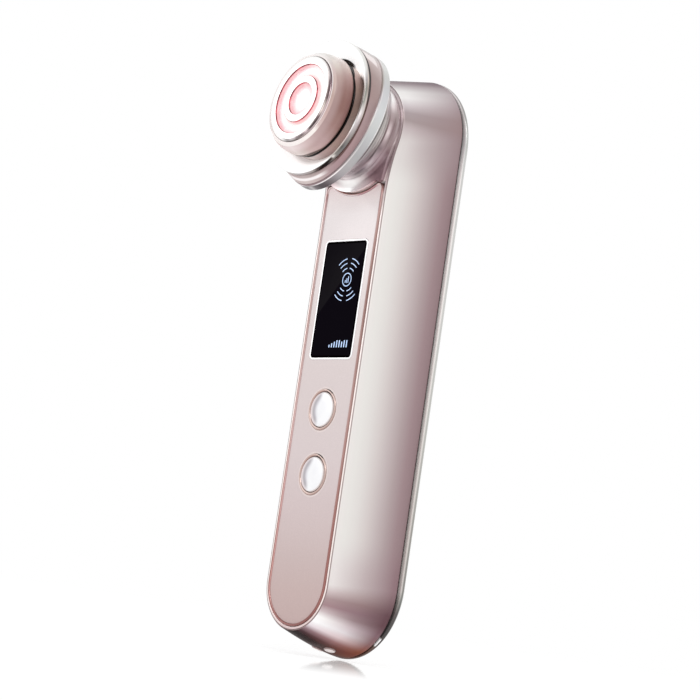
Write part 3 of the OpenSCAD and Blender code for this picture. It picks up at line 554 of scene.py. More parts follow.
def skirtGloss():
    # painted reflection and shade: lighter over the top and bottom, darker on the sides
    f, colour, turned, reach, fine = turnedFinish("taupeSkirt", [
        (-90, "D0C4C1"), (-80, "BEACA9"), (-70, "A99390"), (-60, "A68D89"), (-50, "9C857D"),
        (-40, "967C76"), (-30, "8E7871"), (-20, "81706A"), (-10, "7A665E"), (0, "7B675F"), (10, "87716A"),
        (20, "91796F"), (30, "A08680"), (40, "B29A94"), (50, "C8B6AF"), (60, "C4B4AE"),
        (90, "D8CCC7")], Specular_IOR_Level=0.12)
    # painted shade: the joint below the drum reads as a black arc, broader towards the top
    broad = reach + f.step(turned, 34, 62, False) * 2.4 + f.step(turned, -66, -90, False) * 0.5
    colour = f.blend(f.step(broad, 19.98, 20.18), colour, "0C0302")
    return f.surface(colour, 0.04, 0.2, 0.06, fine)


def ringWhite():
    # painted reflection: the ring's colour follows how far it is turned, with a dark band low on its sides
    f, colour, turned, reach, fine = turnedFinish("ringWhite", [
        (-90, "B9B3B5"), (-86, "5E5458"), (-80, "382D32"), (-75, "5A5054"), (-70, "7C7477"),
        (-60, "A8A2A5"), (-50, "B2AEAF"), (-40, "AFAEAF"), (-30, "B7B6B8"), (-20, "C4C5C6"),
        (-10, "CFD0CF"), (5, "D7D9DA"), (20, "D3D3D6"), (32, "CECED0"), (44, "D2D3D0"), (54, "E3E4E1"),
        (66, "D8D6D4"), (74, "B4B0B0"), (90, "C9C4C1")], collar=True, Specular_IOR_Level=0.4)
    low, high = collar["lightReach"], collar["roseSeam"]
    # painted reflection and shade: the front lip reads as a dusky line, paler on the flanks, with a band of
    # painted highlight just behind it; the rear edge has a painted highlight there and a grey line of shade
    # lower down
    lip = f.ramp(turned, [
        (-90, "957A7E"), (-70, "967F82"), (-50, "9F9191"), (-30, "B4ADAF"), (-18, "D0C5C6"), (-8, "F0EEEA"),
        (4, "F0EBEC"), (12, "D3CECF"), (20, "AEA0A3"), (30, "9D9089"), (44, "ACA49F"), (60, "C8B8B8"),
        (90, "B6A9A8")])
    light = f.ramp(turned, [
        (-90, "8E8082"), (-80, "EDE4E6"), (-60, "FDF6F5"), (-48, "DAD4D4"), (-20, "C4C8C6"), (0, "D5D5D6"),
        (22, "E6E2E4"), (34, "C2C2C0"), (50, "D5CFCC"), (60, "FAF5F4"), (90, "D9CECF")])
    colour = f.blend(f.band(reach, high - 0.82, high - 0.5, 0.12), colour, light)
    colour = f.blend(f.step(reach, high - 0.48, high - 0.35), colour, lip)
    rear = (1 - f.step(reach, low + 0.4, low + 0.65)) * f.band(turned, -20, 20, 16)
    colour = f.blend(rear, colour, "FCFCFC")
    colour = f.blend((1 - f.step(reach, low + 0.05, low + 0.2)) * f.step(turned, -20, -44), colour, "8A8486")
    return f.surface(colour, 0.04, 0.22, 0.06, fine)


def baseSilver():
    # painted reflection: coloured by how far it is turned, brightest just above the flanks
    f, colour, turned, _, fine = turnedFinish("baseSilver", [
        (-90, "B6ABAD"), (-70, "BDB0B4"), (-50, "C0B6BA"), (-40, "C6C1C2"), (-30, "C6C0BE"),
        (-10, "C3BEBA"), (0, "C4BFBB"), (12, "C4BABB"), (22, "EAE6E6"), (40, "E2DEDC"),
        (90, "B4AFAD")], Metallic=0.2)
    # painted shade and highlight: a dusky line, and then a white or grey one beside the light ring: white
    # where it faces up, grey below
    before = headPlace(f, True)[4] - collar["lightReach"]
    edge = f.step(before, -0.55, -0.3)
    colour = f.blend(f.band(before, -1.15, -0.75, 0.3) * f.band(turned, -40, -2, 14), colour, "6F6A6A")
    high = f.step(turned, -46, -16)
    colour = f.blend(edge * high, colour, "F2F0EE")
    colour = f.blend(edge * (1 - high), colour, "A39DA0")
    return f.surface(colour, 0.05, 0.2, 0.06, fine)


def flangeMirror():
    # a bright dish inside a polished rim: the rim's reflections are painted in, and a painted glow keeps the
    # dish white
    f = Finish("flangeMirror", Emission_Strength=1.0, Specular_IOR_Level=0.3)
    spot, across, radius, turned, reach = headPlace(f)
    streak = f.grain(spot, 4.0, 2.0)
    back, wide, drum = head["rimReach"], head["rimRadius"], head["drumRadius"]
    # painted reflection: dark and bright streaks round the rim and its lip, by how far each point is turned
    rear = f.ramp(turned, [
        (-90, "9C9091"), (-78, "9A8A86"), (-70, "3E2B29"), (-60, "332624"), (-50, "564444"),
        (-30, "6A5A5B"), (-20, "8A7674"), (-10, "D2C4BA"), (0, "7E6260"), (8, "28140E"), (22, "1C0C08"),
        (32, "2E1E1C"), (42, "4E403C"), (52, "96908B"), (60, "BEB7B5"), (90, "E0DCDA")])
    middle = f.ramp(turned, [
        (-90, "908080"), (-80, "6E615E"), (-70, "291A1A"), (-60, "2C2020"), (-52, "88807B"),
        (-40, "747474"), (-30, "969089"), (-18, "BDB1B3"), (-8, "D5CBCB"), (2, "D1C8C0"), (12, "A79A92"),
        (20, "D4C6BC"), (30, "CAC0BC"), (40, "F2EEEA"), (90, "FCF6F4")])
    front = f.ramp(turned, [
        (-90, "A29A9B"), (-76, "A89E9A"), (-70, "4E3E3B"), (-64, "241613"), (-56, "1E1210"),
        (-53, "4A3A37"), (-51, "F2ECE8"), (-48, "8A8580"), (-40, "585553"), (-30, "9A9292"),
        (-18, "CEC6C6"), (-10, "FCF4F3"), (0, "A09F98"), (12, "8E8E86"), (20, "B1AAAC"), (30, "EBECE9"),
        (90, "FFFCF9")])
    rim = f.blend(f.step(reach, back + 0.12, back + 0.34, False), rear, middle)
    rim = f.blend(f.step(reach, back + 0.6, back + 1.1, False), rim, front)
    lip = f.ramp(turned, [
        (-90, "FFFFFF"), (-57, "FFFFFF"), (-50, "ACA49C"), (-40, "BCB2AC"), (-30, "D2BCBA"),
        (-20, "FCFCFC"), (-10, "746763"), (0, "6A5A59"), (10, "9C8C88"), (20, "DDD8D6"), (28, "FEFEFE"),
        (90, "FFFFFF")])
    lip = f.blend(f.step(across, -3.5, 3.5), "FFFFFF", lip)
    rim = f.blend(f.step(reach, back + 1.3, back + 1.5) * (1 - f.step(across, -9, -4)), rim, "FFFFFF")
    # painted reflection: the drum shows in the upper part of the dish and along its foot
    drumReflection = f.band(turned, 2, 33, 6) * (1 - f.step(radius, drum + 0.3, drum + 2.3))
    drumReflection = drumReflection.math("MAXIMUM", (1 - f.step(radius, drum, drum + 0.6)) * f.band(turned, -36, 38, 8))
    dish = f.blend(drumReflection, "FFFFFF", "8C7B75")
    # painted reflection: the skirt shows again in the low part of the dish
    skirtReflection = (1 - f.step(radius, drum, drum + 2.1)) * (1 - f.step(turned, -48, -36)) * 0.55
    dish = f.blend(skirtReflection, dish, "B7A8A2")
    # painted shade: a dark crescent in the dish beside the top of the drum
    depth = radius - f.step(turned, 56, 80) * 0.6
    shade = (1 - f.step(depth, drum + 0.1, drum + 0.5)) * f.step(turned, 56, 66)
    dish = f.blend(shade, dish, "1C100C")
    outside = f.step(radius, wide - 0.25, wide - 0.1)
    colour = f.blend(f.step(radius, wide - 1.0, wide - 0.7), dish, lip)
    colour = f.blend(outside, colour, rim)
    # painted glow: the dish emits light so it stays white, except where reflections and shade are painted
    glow = (1 - f.step(radius, wide - 0.8, wide - 0.3)) * (1 - drumReflection) * (1 - skirtReflection) * (1 - shade)
    f.feed("Emission Color", f.blend(glow, "000000", "C0C0C0"))
    f.feed("Metallic", 0.25 * outside)
    return f.surface(colour, 0.03, 0.12, 0.05, streak)


def faceMetal():
    # polished treatment lands; the lit grooves redden their edges and flush their walls
    f = Finish("faceMetal", Metallic=0.5, Emission_Strength=0.22)
    spot, across, radius, turned, reach = headPlace(f)
    fine = f.grain(spot, 2.5)
    face = head["faceReach"]
    patch = f.step(f.grain(spot, 2.2, 2.0), 0.36, 0.66)
    wall = f.ramp(reach, [(28.0, "F0D9D8"), (28.4, "EACBCC"), (28.75, "DDB0B4"), (28.9, "C88890")])
    lip = f.blend(patch, "5E1420", "C4545C")
    colour = f.blend(f.step(reach, face - 0.5, face - 0.35), wall, lip)
    colour = f.blend(f.step(reach, face - 0.07, face - 0.02), colour, f.tinted("FFFDFC", 0.03, fine))
    # the chromed outer edge, dark and bright by turns on the side away from the light
    edge = f.ramp(turned, [
        (-90, "EAE2E4"), (-76, "8A7E80"), (-66, "6A5D5E"), (-57, "C0B0B2"), (-50, "4C4243"),
        (-40, "2E1C1E"), (-31, "5A484A"), (-22, "CBBBB6"), (-14, "B9ADA6"), (-4, "5A4848"), (8, "523E40"),
        (20, "6A595D"), (30, "C0B7B6"), (40, "D6CFCD"), (52, "F4EFEE"), (66, "FFFEFD"), (90, "FFFEFD")])
    inner = f.ramp(turned, [
        (-90, "FFFBFC"), (-70, "F4EFEF"), (-58, "D2C8C7"), (-48, "CCC2C3"), (-40, "6C615C"),
        (-30, "5E5050"), (-20, "958C8A"), (-10, "857777"), (0, "7F6E6E"), (10, "AEA39E"), (20, "E4DEDA"),
        (34, "ECE7E4"), (44, "FEFCFA"), (90, "FFFDFC")])
    outer = f.ramp(turned, [
        (-90, "8A8484"), (-76, "7A6E6C"), (-64, "A69794"), (-50, "BCA9AB"), (-30, "D0C0C1"),
        (-10, "D6BCC0"), (4, "BEAAAC"), (14, "8C767C"), (30, "735E65"), (42, "7C6C6F"), (60, "8C8380"),
        (80, "DADADA"), (90, "F1F1F1")])
    rim = f.blend(f.step(radius, 13.95, 14.2), inner, edge)
    rim = f.blend(f.step(radius, 14.85, 15.08), rim, outer)
    bevel = f.step(radius, 13.5, 13.75)
    pale = f.blend(f.step(radius, 14.2, 14.5) * f.step(turned, -70, -88), "FFFDFC", "8A8484")
    colour = f.blend(bevel, colour, pale)
    colour = f.blend(bevel * f.step(across, -3.5, 3.5), colour, rim)
    f.feed("Base Color", colour)
    f.feed("Roughness", 0.1 + 0.05 * fine)
    groove = (1 - f.step(reach, face - 0.2, face - 0.04)) * (1 - f.step(radius, 13.4, 13.6))
    f.feed("Emission Color", f.blend(groove, "000000", colour))
    return f.material


def litWindow():
    f = Finish("litWindow", Specular_IOR_Level=0.3, Emission_Strength=0.3)
    spot, across, radius, _, _ = headPlace(f)
    soft = f.grain(spot, 2.2)
    colour = f.ramp(radius, [
        (0, "FFFDF9"), (2.0, "FDF6F3"), (3.2, "F8EAE9"), (4.3, "EED2D4"), (5.2, "E5BEC3"), (5.8, "DAA9B0"),
        (8.3, "DFB9BB"), (8.9, "F3DBDA"), (9.6, "FCF4F1"), (10.3, "FCF4F1"), (11.0, "F3DDDF"),
        (11.8, "E6C2C7"), (12.4, "D8A8B0")])
    colour = f.blend(f.step(soft, 0.52, 0.7) * 0.4, colour, "FFF8F5")
    # painted highlight: the outer floor is paler on one side
    colour = f.blend(f.step(across, -4.0, 3.0) * f.step(radius, 9.9, 10.5) * 0.6, colour, "FFF6F4")
    f.feed("Base Color", colour)
    f.feed("Roughness", 0.14 + 0.1 * soft)
    f.feed("Emission Color", colour)
    return f.material


def neckMetal():
    f = Finish("neckMetal", Metallic=0.6)
    spot, _, _, turned, reach = headPlace(f)
    # painted reflection and shade: each band of the neck follows how far it is turned, with painted
    # highlights and dark streaks
    low = f.ramp(turned, [
        (-90, "F6EFF1"), (-80, "CCC4C5"), (-70, "B2A7A8"), (-60, "A89A9D"), (-50, "A9979C"),
        (-40, "A58E94"), (-30, "957F83"), (-20, "948182"), (-10, "947E81"), (0, "917D7E"), (10, "AD9D9D"),
        (20, "D3C4C5"), (30, "F0E8E8"), (42, "E8E3E4"), (90, "D5CCCC")])
    waist = f.ramp(turned, [
        (-90, "CCC3C6"), (-80, "BBB1B4"), (-68, "94868A"), (-60, "93838A"), (-50, "C2B5B9"),
        (-42, "AC9A9F"), (-30, "837175"), (-22, "AE9A9D"), (-12, "DCCCCD"), (-6, "CDBBBD"), (2, "A79395"),
        (10, "B4A3A4"), (18, "EADDDD"), (26, "FCFAF9"), (36, "F5F2F2"), (50, "DBD5D5"), (90, "C9C0BE")])
    groove = f.ramp(turned, [
        (-90, "A89CA0"), (-70, "8A7A7F"), (-58, "9B8D91"), (-50, "AC9EA2"), (-42, "7A7173"),
        (-20, "725F60"), (-8, "806A6B"), (4, "907D7D"), (12, "B3A4A5"), (20, "F0EBEC"), (30, "E9E7E7"),
        (90, "C9C0BE")])
    silver = f.ramp(turned, [
        (-90, "9A8E90"), (-70, "8C7C82"), (-60, "9B8C91"), (-50, "BDB2B6"), (-30, "C2BAB8"),
        (-20, "C8BEBD"), (-8, "C2BBB8"), (0, "C4BCBA"), (9, "B4A8AA"), (18, "DCD6D6"), (28, "F0EEF0"),
        (90, "C9C0BE")])
    colour = f.blend(f.step(reach, 2.6, 3.5), low, waist)
    colour = f.blend(f.step(reach, 4.2, 4.5), colour, groove)
    colour = f.blend(f.step(reach, 5.05, 5.3), colour, silver)
    apron = f.ramp(turned, [
        (-90, "FCF9F8"), (-82, "F8F4F3"), (-75, "E2D9D9"), (-68, "C2B4B5"), (-61, "90767C"),
        (-54, "7C6268"), (-44, "84696F"), (-36, "8C747A"), (-30, "7A6065"), (-22, "978284"),
        (-10, "A39092"), (0, "AC9B9D"), (15, "C9BBBC"), (30, "EEE6E6"), (90, "E4DADA")])
    colour = f.blend(f.step(reach, 1.9, 1.1), colour, apron)
    edge = f.ramp(turned, [
        (-90, "FFFFFF"), (-75, "FCF2F2"), (-66, "EEDCDE"), (-60, "C8ACB0"), (-56, "AC8E94"),
        (-50, "9A7E84"), (-38, "9C8288"), (-26, "C4B2B4"), (-16, "DACACB"), (60, "DACACB"), (90, "E4DADA")])
    colour = f.blend(f.step(reach, 0.45, -0.1), colour, edge)
    colour = f.blend(f.step(reach, -1.2, -1.8), colour, "FFF4F3")
    return f.surface(colour, 0.08, 0.16, 0.08, f.grain(spot, 1.6, stretch=(1, 1, 6)))


def roseCollar():
    # painted reflection and shade: the collar is coloured by how far it is turned
    f, colour, turned, reach, fine = turnedFinish("roseCollar", [
        (-90, "D0C1BE"), (-76, "C0ADAB"), (-64, "AE9496"), (-50, "A88A8D"), (-30, "A98B8C"),
        (-10, "AB8F90"), (0, "A68C8B"), (10, "A28582"), (20, "A08480"), (30, "A58B87"), (38, "B59E9A"),
        (46, "C4ADAB"), (52, "D0BAB8"), (60, "B6A9A6"), (90, "B6A9AA")], collar=True, Metallic=0.3)
    # painted highlights where it turns under and over, painted shade beside the light ring, and a dusky edge
    # of painted shade beside the flange
    colour = f.blend(f.band(reach, 15.35, 16.3, 0.4) * f.step(turned, -62, -76), colour, "FBF4F4")
    colour = f.blend(f.step(reach, 16.2, 17.0) * f.band(turned, 48, 56, 4), colour, "FBEEED")
    colour = f.blend(1 - f.step(reach, 14.0, 14.4), colour, "9A8788")
    forward = headPlace(f)[4]
    dusk = f.ramp(turned, [
        (-90, "C0B0AE"), (-60, "A89090"), (-50, "634541"), (-8, "5A3E38"), (-1, "45261F"), (6, "1A0704"),
        (25, "1C0A08"), (36, "1E0D0D"), (44, "2A1C1A"), (56, "625858"), (66, "A8A0A0"), (90, "D0CCCC")])
    colour = f.blend(f.step(forward, 18.85, 19.22), colour, dusk)
    return f.surface(colour, 0.04, 0.18, 0.06, fine)


def plainFinish(name, code, roughness, metallic, vary, size, relief, **sockets):
    # a moulded, plated or printed part inside the shell
    f = Finish(name, Metallic=metallic, **sockets)
    spot = f.place()[0]
    fine = f.grain(spot, size)
    f.feed("Base Color", f.tinted(code, vary, fine))
    f.feed("Roughness", roughness + (fine - 0.5) * 0.1)
    f.feed("Normal", f.bump(f.grain(spot, size / 6, 2.0), relief))
    return f.material


def contactNickel():
    # pearly crowns with a shoulder painted darker as shade
    f = Finish("contactNickel", Metallic=0.6)
    colour = f.blend(f.step(f.facing()[2], -0.93, -0.8), "FBF3F1", "A48E8C")
    return f.surface(colour, 0.08, 0.18, 0.06, f.grain(f.place()[0], 1.0))


def iconLight():
    f = Finish("iconLight", Roughness=0.4, Emission_Strength=0.5)
    shine = f.blend(f.grain(f.place()[0], 3.0), "86A6D6", "CCDDF4")
    f.feed("Base Color", shine)
    f.feed("Emission Color", shine)
    return f.material


print("mixing the finishes")
finishes = {
    "satinBody": satinBody(),
    "whiteTrim": rimWhite(),
    "rearBand": bandChrome(),
    "roseBezel": roseBezel(),
    "blushPanel": blushPanel(),
    "displayGlass": displayGlass(),
    "displayFrame": frameWhite(),
    "iconLight": iconLight(),
    "pearlCap": pearlCap(),
    "buttonRing": gildedRing(),
    "drumGloss": drumGloss(),
    "skirt": skirtGloss(),
    "flange": flangeMirror(),
    "faceMetal": faceMetal(),
    "litWindow": litWindow(),
    "neck": neckMetal(),
    "roseCollar": roseCollar(),
    "lightRing": ringWhite(),
    "baseRing": baseSilver(),
    "contactMetal": contactNickel(),
    "coverGloss": plainFinish("coverGloss", "D8CDCB", 0.22, 0.1, 0.03, 0.4, 0.0008, Coat_Weight=0.3),
}
# colour, roughness, metal, unevenness, grain and relief of the parts inside
plainFinishes = {
    "sealDark": ("2E1F22", 0.6, 0.0, 0.2, 0.8, 0.006),
    "darkMoulding": ("35393C", 0.5, 0.0, 0.1, 1.2, 0.01),
    "naturalMoulding": ("DEDDD8", 0.5, 0.0, 0.05, 1.2, 0.01),
    "screwSteel": ("C9CCCE", 0.32, 0.9, 0.08, 0.5, 0.004),
    "boardMask": ("1B573A", 0.35, 0.0, 0.18, 2.5, 0.02),
    "partsBlack": ("2A2B2D", 0.4, 0.1, 0.2, 0.8, 0.01),
    "cellSleeve": ("4D6B98", 0.3, 0.3, 0.08, 3.0, 0.01),
    "padFoam": ("3F4043", 0.9, 0.0, 0.25, 0.6, 0.05),
    "wireRed": ("B31F1F", 0.45, 0.0, 0.1, 0.6, 0.005),
    "lampRed": ("E63A2E", 0.2, 0.0, 0.15, 0.6, 0.002),
    "lampBoard": ("ECECE2", 0.4, 0.0, 0.06, 1.5, 0.006),
    "ribbonFilm": ("C98F3A", 0.35, 0.1, 0.12, 2.0, 0.004),
}
for name, values in plainFinishes.items():
    finishes[name] = plainFinish(name, *values)


# making pieces: points within merge millimetres become one, and edges past sharp degrees stay sharp
making = {"merge": 0.001, "sharp": 32}


def placed(name, bm):
    # an object in the scene, made from a bmesh that is then freed
    mesh = bpy.data.meshes.new(name)
    bm.to_mesh(mesh)
    bm.free()
    made = bpy.data.objects.new(name, mesh)
    bpy.context.scene.collection.objects.link(made)
    return made


def cleaned(bm):
    bmesh.ops.remove_doubles(bm, verts=bm.verts, dist=making["merge"])
    bmesh.ops.recalc_face_normals(bm, faces=bm.faces)
    return bm


def finishPiece(name, bm, finish, replaces=(), body="handset"):
    cleaned(bm)
    bmesh.ops.scale(bm, vec=(mm, mm, mm), verts=bm.verts)
    piece = placed(name, bm)
    piece.data.shade_smooth()
    piece.data.set_sharp_from_angle(angle=math.radians(making["sharp"]))
    piece.data.materials.append(finishes[finish])
    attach(piece, body)
    if replaces:
        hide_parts(*replaces)
    return piece


def axisPlace(height, tilt):
    return Matrix.Translation((0, frontY, height)) @ Matrix.Rotation(math.radians(90 - tilt), 4, "X")


headAxis = axisPlace(handset["headHeight"], headTilt)
collarAxis = axisPlace(handset["collarHeight"], collarTilt)


def carved(piece, tool, operation):
    # the mesh that a piece has once another is cut from it or met with it
    cut = piece.modifiers.new("carve", "BOOLEAN")
    cut.operation = operation
    cut.object = tool
    cut.solver = "EXACT"
    bpy.context.view_layer.update()
    mesh = bpy.data.meshes.new_from_object(piece.evaluated_get(bpy.context.evaluated_depsgraph_get()))
    piece.modifiers.clear()
    bpy.data.objects.remove(tool)
    return mesh


def trimmed(bm, place, reach, **parts):
    # takes away what lies past a plane across the axis, before it or behind it
    bmesh.ops.bisect_plane(bm, geom=bm.verts[:] + bm.edges[:] + bm.faces[:],
                           plane_co=place @ Vector((0, 0, reach)),
                           plane_no=place.to_3x3() @ Vector((0, 0, 1)), **parts)


def spun(profile, place, steps=144, bm=None, sweep=360.0):
    # a ring or disc turned from its closed outline of (radius, reach) points; a third number rounds a corner
    made = bmesh.new()
    verts = [made.verts.new((p[0], 0, p[1])) for p in profile]
    for pair in zip(verts, verts[1:] + verts[:1]):
        made.edges.new(pair)
    sizes = {}
    for vert, p in zip(verts, profile):
        if len(p) > 2:
            sizes.setdefault(p[2], []).append(vert)
    for size, group in sizes.items():
        bmesh.ops.bevel(made, geom=group, offset=size, offset_type="OFFSET", segments=3, profile=0.5,
                        affect="VERTICES", material=-1, clamp_overlap=True)
    bmesh.ops.spin(made, geom=made.verts[:] + made.edges[:], cent=(0, 0, 0), axis=(0, 0, 1),
                   angle=math.radians(sweep), steps=steps, use_merge=sweep == 360)
    bmesh.ops.remove_doubles(made, verts=made.verts, dist=making["merge"])
    bmesh.ops.dissolve_degenerate(made, dist=making["merge"] / 2, edges=made.edges)
    if sweep < 360:
        bmesh.ops.holes_fill(made, edges=made.edges[:])
    bmesh.ops.transform(made, matrix=place, verts=made.verts)
    return joined(made, bm)


def joined(made, bm):
    # the new shape, added to a bmesh that is already begun if there is one
    if bm is None:
        return made
    mesh = bpy.data.meshes.new("part")
    made.to_mesh(mesh)
    made.free()
    bm.from_mesh(mesh)
    bpy.data.meshes.remove(mesh)
    return bm


def arc(x, z, radius, start, end, count):
    # points on a circle, from one angle to the other
    turns = [math.radians(start + (end - start) * i / count) for i in range(count + 1)]
    return [(x + radius * math.cos(a), z + radius * math.sin(a)) for a in turns]


def bodyOutline(half, foot, centre, radius, crown):
    # straight sides between a round foot and a round boss, joined by soft shoulders
    shoulder, soft = handset["shoulder"], handset["shoulderBend"]
    rise = centre - shoulder
    opening = math.degrees(math.acos(min(1, radius / math.hypot(half, rise))) - math.atan2(rise, half))
    touch = Vector(arc(0, centre, radius, opening, opening, 1)[0])
    corner = Vector((half, shoulder))
    start, end = corner - Vector((0, soft)), corner + (touch - corner).normalized() * soft
    shares = [i / 8 for i in range(9)]
    bend = [tuple(start * (1 - u) ** 2 + corner * 2 * u * (1 - u) + end * u * u) for u in shares]
    left = [(-x, z) for x, z in reversed(bend)]
    boss = [(x, z if z < centre else centre + (z - centre) * crown / radius)
            for x, z in arc(0, centre, radius, opening, 180 - opening, 64)]
    return arc(0, foot + half, half, 180, 360, 48) + bend + boss + left


def rimOutline(inset):
    return bodyOutline(handset["rimHalf"] - inset, handset["rimFoot"] + inset, handset["headHeight"],
                       handset["bossRadius"] - inset, handset["bossRise"] - inset)


def flankOutline(share, inset):
    # the body a share of the way back from the rim, where it swells quickly at first
    swell = 1 - (1 - share) ** handset["belly"]
    head, half = handset["headHeight"], handset["housingHalf"]

    def grown(rim, rear, by=swell):
        return rim + (rear - rim) * by

    centre = grown(head, handset["housingTop"] - half)
    top = grown(head + handset["bossRise"], handset["housingTop"], share)
    foot = grown(handset["rimFoot"], handset["housingFoot"])
    return bodyOutline(grown(handset["rimHalf"], half) - inset, foot + inset, centre,
                       grown(handset["bossRadius"], half) - inset, top - centre - inset)


def stadiumOutline(half, foot, top):
    return arc(0, foot + half, half, 180, 360, 56) + arc(0, top - half, half, 0, 180, 56)


def lofted(loops, capped=False):
    # a skin over outlines, closed into a ring or capped at its ends; each is a list of (x, z) points
    # with its depth behind the rim, or a list of points in space with no depth
    made = bmesh.new()
    rings = []
    for outline, y in loops:
        ring = bmesh.ops.create_circle(made, cap_ends=False, segments=len(outline), radius=1)["verts"]
        for vert, p in zip(ring, outline):
            vert.co = p if y is None else (p[0], frontY + y, p[1])
        rings.append(list({edge for vert in ring for edge in vert.link_edges}))
    for first, second in zip(rings, rings[1:] + ([] if capped else rings[:1])):
        bmesh.ops.bridge_loops(made, edges=first + second)
    if capped:
        bmesh.ops.contextual_create(made, geom=rings[0])
        bmesh.ops.contextual_create(made, geom=rings[-1])
    return made


# the handset's shell
contact = {
    "x": 3.4,
    "depth": 15.2,
    "level": 1.72,
    "slope": 14.0,
    "lean": 9.0,
    "radius": 2.1,
    "socketRadius": 2.25,
}


def makeHousing():
    shell = {"rimRound": 0.3, "lip": 0.35, "pocket": 1.4, "socketLevel": 2, "socketDeep": 14}
    depth, wall, lip = handset["housingDepth"], handset["wall"], shell["lip"]
    loops = [(flankOutline(1, 0.2), depth), (flankOutline(1, 0.05), depth - 0.1)]
    shares = (0.985, 0.95, 0.9, 0.84, 0.77, 0.7, 0.62, 0.54, 0.46, 0.38, 0.3, 0.23, 0.16, 0.1, 0.05, 0.024)
    loops += [(flankOutline(share, 0), share * depth) for share in shares]
    # over the rim, down into the pocket of the trim, and back along the inside of the wall
    loops += [
        (flankOutline(0.01, 0.03), 0.22), (flankOutline(0.002, 0.12), 0.06),
        (rimOutline(shell["rimRound"]), 0), (rimOutline(lip), 0.02),
        (rimOutline(lip + 0.02), shell["pocket"]), (rimOutline(wall + 0.2), shell["pocket"] + 0.02),
        (flankOutline(0.2, wall), 4.8), (flankOutline(0.5, wall), 11.8),
        (flankOutline(1, wall), depth - 0.02)]
    piece = finishPiece("satinHousing", lofted(loops), "satinBody", ["main_housing"])
    # two round sockets for the charging contacts in the foot
    cutter = bmesh.new()
    radius = contact["socketRadius"]
    for side in (-1, 1):
        place = Matrix.Translation((side * contact["x"], frontY + contact["depth"], shell["socketLevel"]))
        bmesh.ops.create_cone(cutter, cap_ends=True, segments=48, radius1=radius, radius2=radius,
                              depth=shell["socketDeep"], matrix=place)
    bmesh.ops.scale(cutter, vec=(mm, mm, mm), verts=cutter.verts)
    piece.data = carved(piece, placed("socketCutter", cutter), "DIFFERENCE")


def makeRimTrim():
    trim = {"outer": 0.38, "inner": 1.42, "proud": 0.16}
    a, b, top = trim["outer"], trim["inner"], -trim["proud"]
    section = [
        (a, 1.3), (a, 0.12), (a + 0.06, 0.0), (a + 0.2, top * 0.7), (a + 0.42, top), (b - 0.36, top + 0.01),
        (b - 0.14, top * 0.6), (b, 0.08), (b, 1.28)]
    loops = [(rimOutline(inset), y) for inset, y in section]
    finishPiece("rimTrim", lofted(loops), "whiteTrim", ["rim_trim"])


def hornPlace():
    # the middle of the right horn, and the angles at which its arc and the scoop's arc meet
    x = panel["half"] - panel["hornRadius"]
    rise = math.sqrt((panel["scoopRadius"] + panel["hornRadius"]) ** 2 - x**2)
    over, dip = math.degrees(math.atan2(rise, -x)), math.degrees(math.atan2(-rise, x))
    return x, handset["headHeight"] - rise, over, dip


def scoopArc(grow):
    dip = hornPlace()[3]
    return arc(0, handset["headHeight"], panel["scoopRadius"] - grow, dip, -180 - dip, 32)[1:-1]


def panelOutline(grow):
    # round foot, straight sides, and two horns beside the scoop under the neck
    x, z, over, _ = hornPlace()
    horn = panel["hornRadius"] + grow
    foot = arc(0, panel["footCentre"], panel["half"] + grow, 180, 360, 48)
    return foot + arc(x, z, horn, 0, over, 14) + scoopArc(grow) + arc(-x, z, horn, 180 - over, 180, 14)


def makeBezel():
    bezel = {"outer": -0.05, "inner": -0.9, "crown": -0.62}
    a, b, c = bezel["outer"], bezel["inner"], bezel["crown"]
    section = [
        (a, 1.3), (a, -0.3), (a - 0.05, -0.42), (a - 0.14, -0.53), (a - 0.28, c), (b + 0.28, c + 0.01),
        (b + 0.12, -0.54), (b + 0.03, -0.42), (b, -0.28), (b, 1.28)]
    loops = [(panelOutline(grow), y) for grow, y in section]
    finishPiece("roseBezelBand", lofted(loops), "roseBezel", ["panel_bezel"])


def displayOutline(grow):
    # a round corner at each end of each side
    x, z = display["width"] / 2 - display["corner"], display["height"] / 2 - display["corner"]
    corners = ((-x, -z, 180), (x, -z, 270), (x, z, 0), (-x, z, 90))
    return [point for across, up, turn in corners
            for point in arc(across, display["centre"] + up, display["corner"] + grow, turn, turn + 90, 8)]


def makeDisplayFrame():
    # its section runs over the front, from the outside in
    top = display["front"]
    section = [
        (0.8, 1.3), (0.8, top + 0.12), (0.74, top + 0.03), (0.6, top - 0.04), (0.3, top - 0.03),
        (0.14, top), (0.08, top + 0.1), (0.05, 1.28)]
    loops = [(displayOutline(grow), y) for grow, y in section]
    finishPiece("displayFrame", lofted(loops), "displayFrame", ["display_surround"])


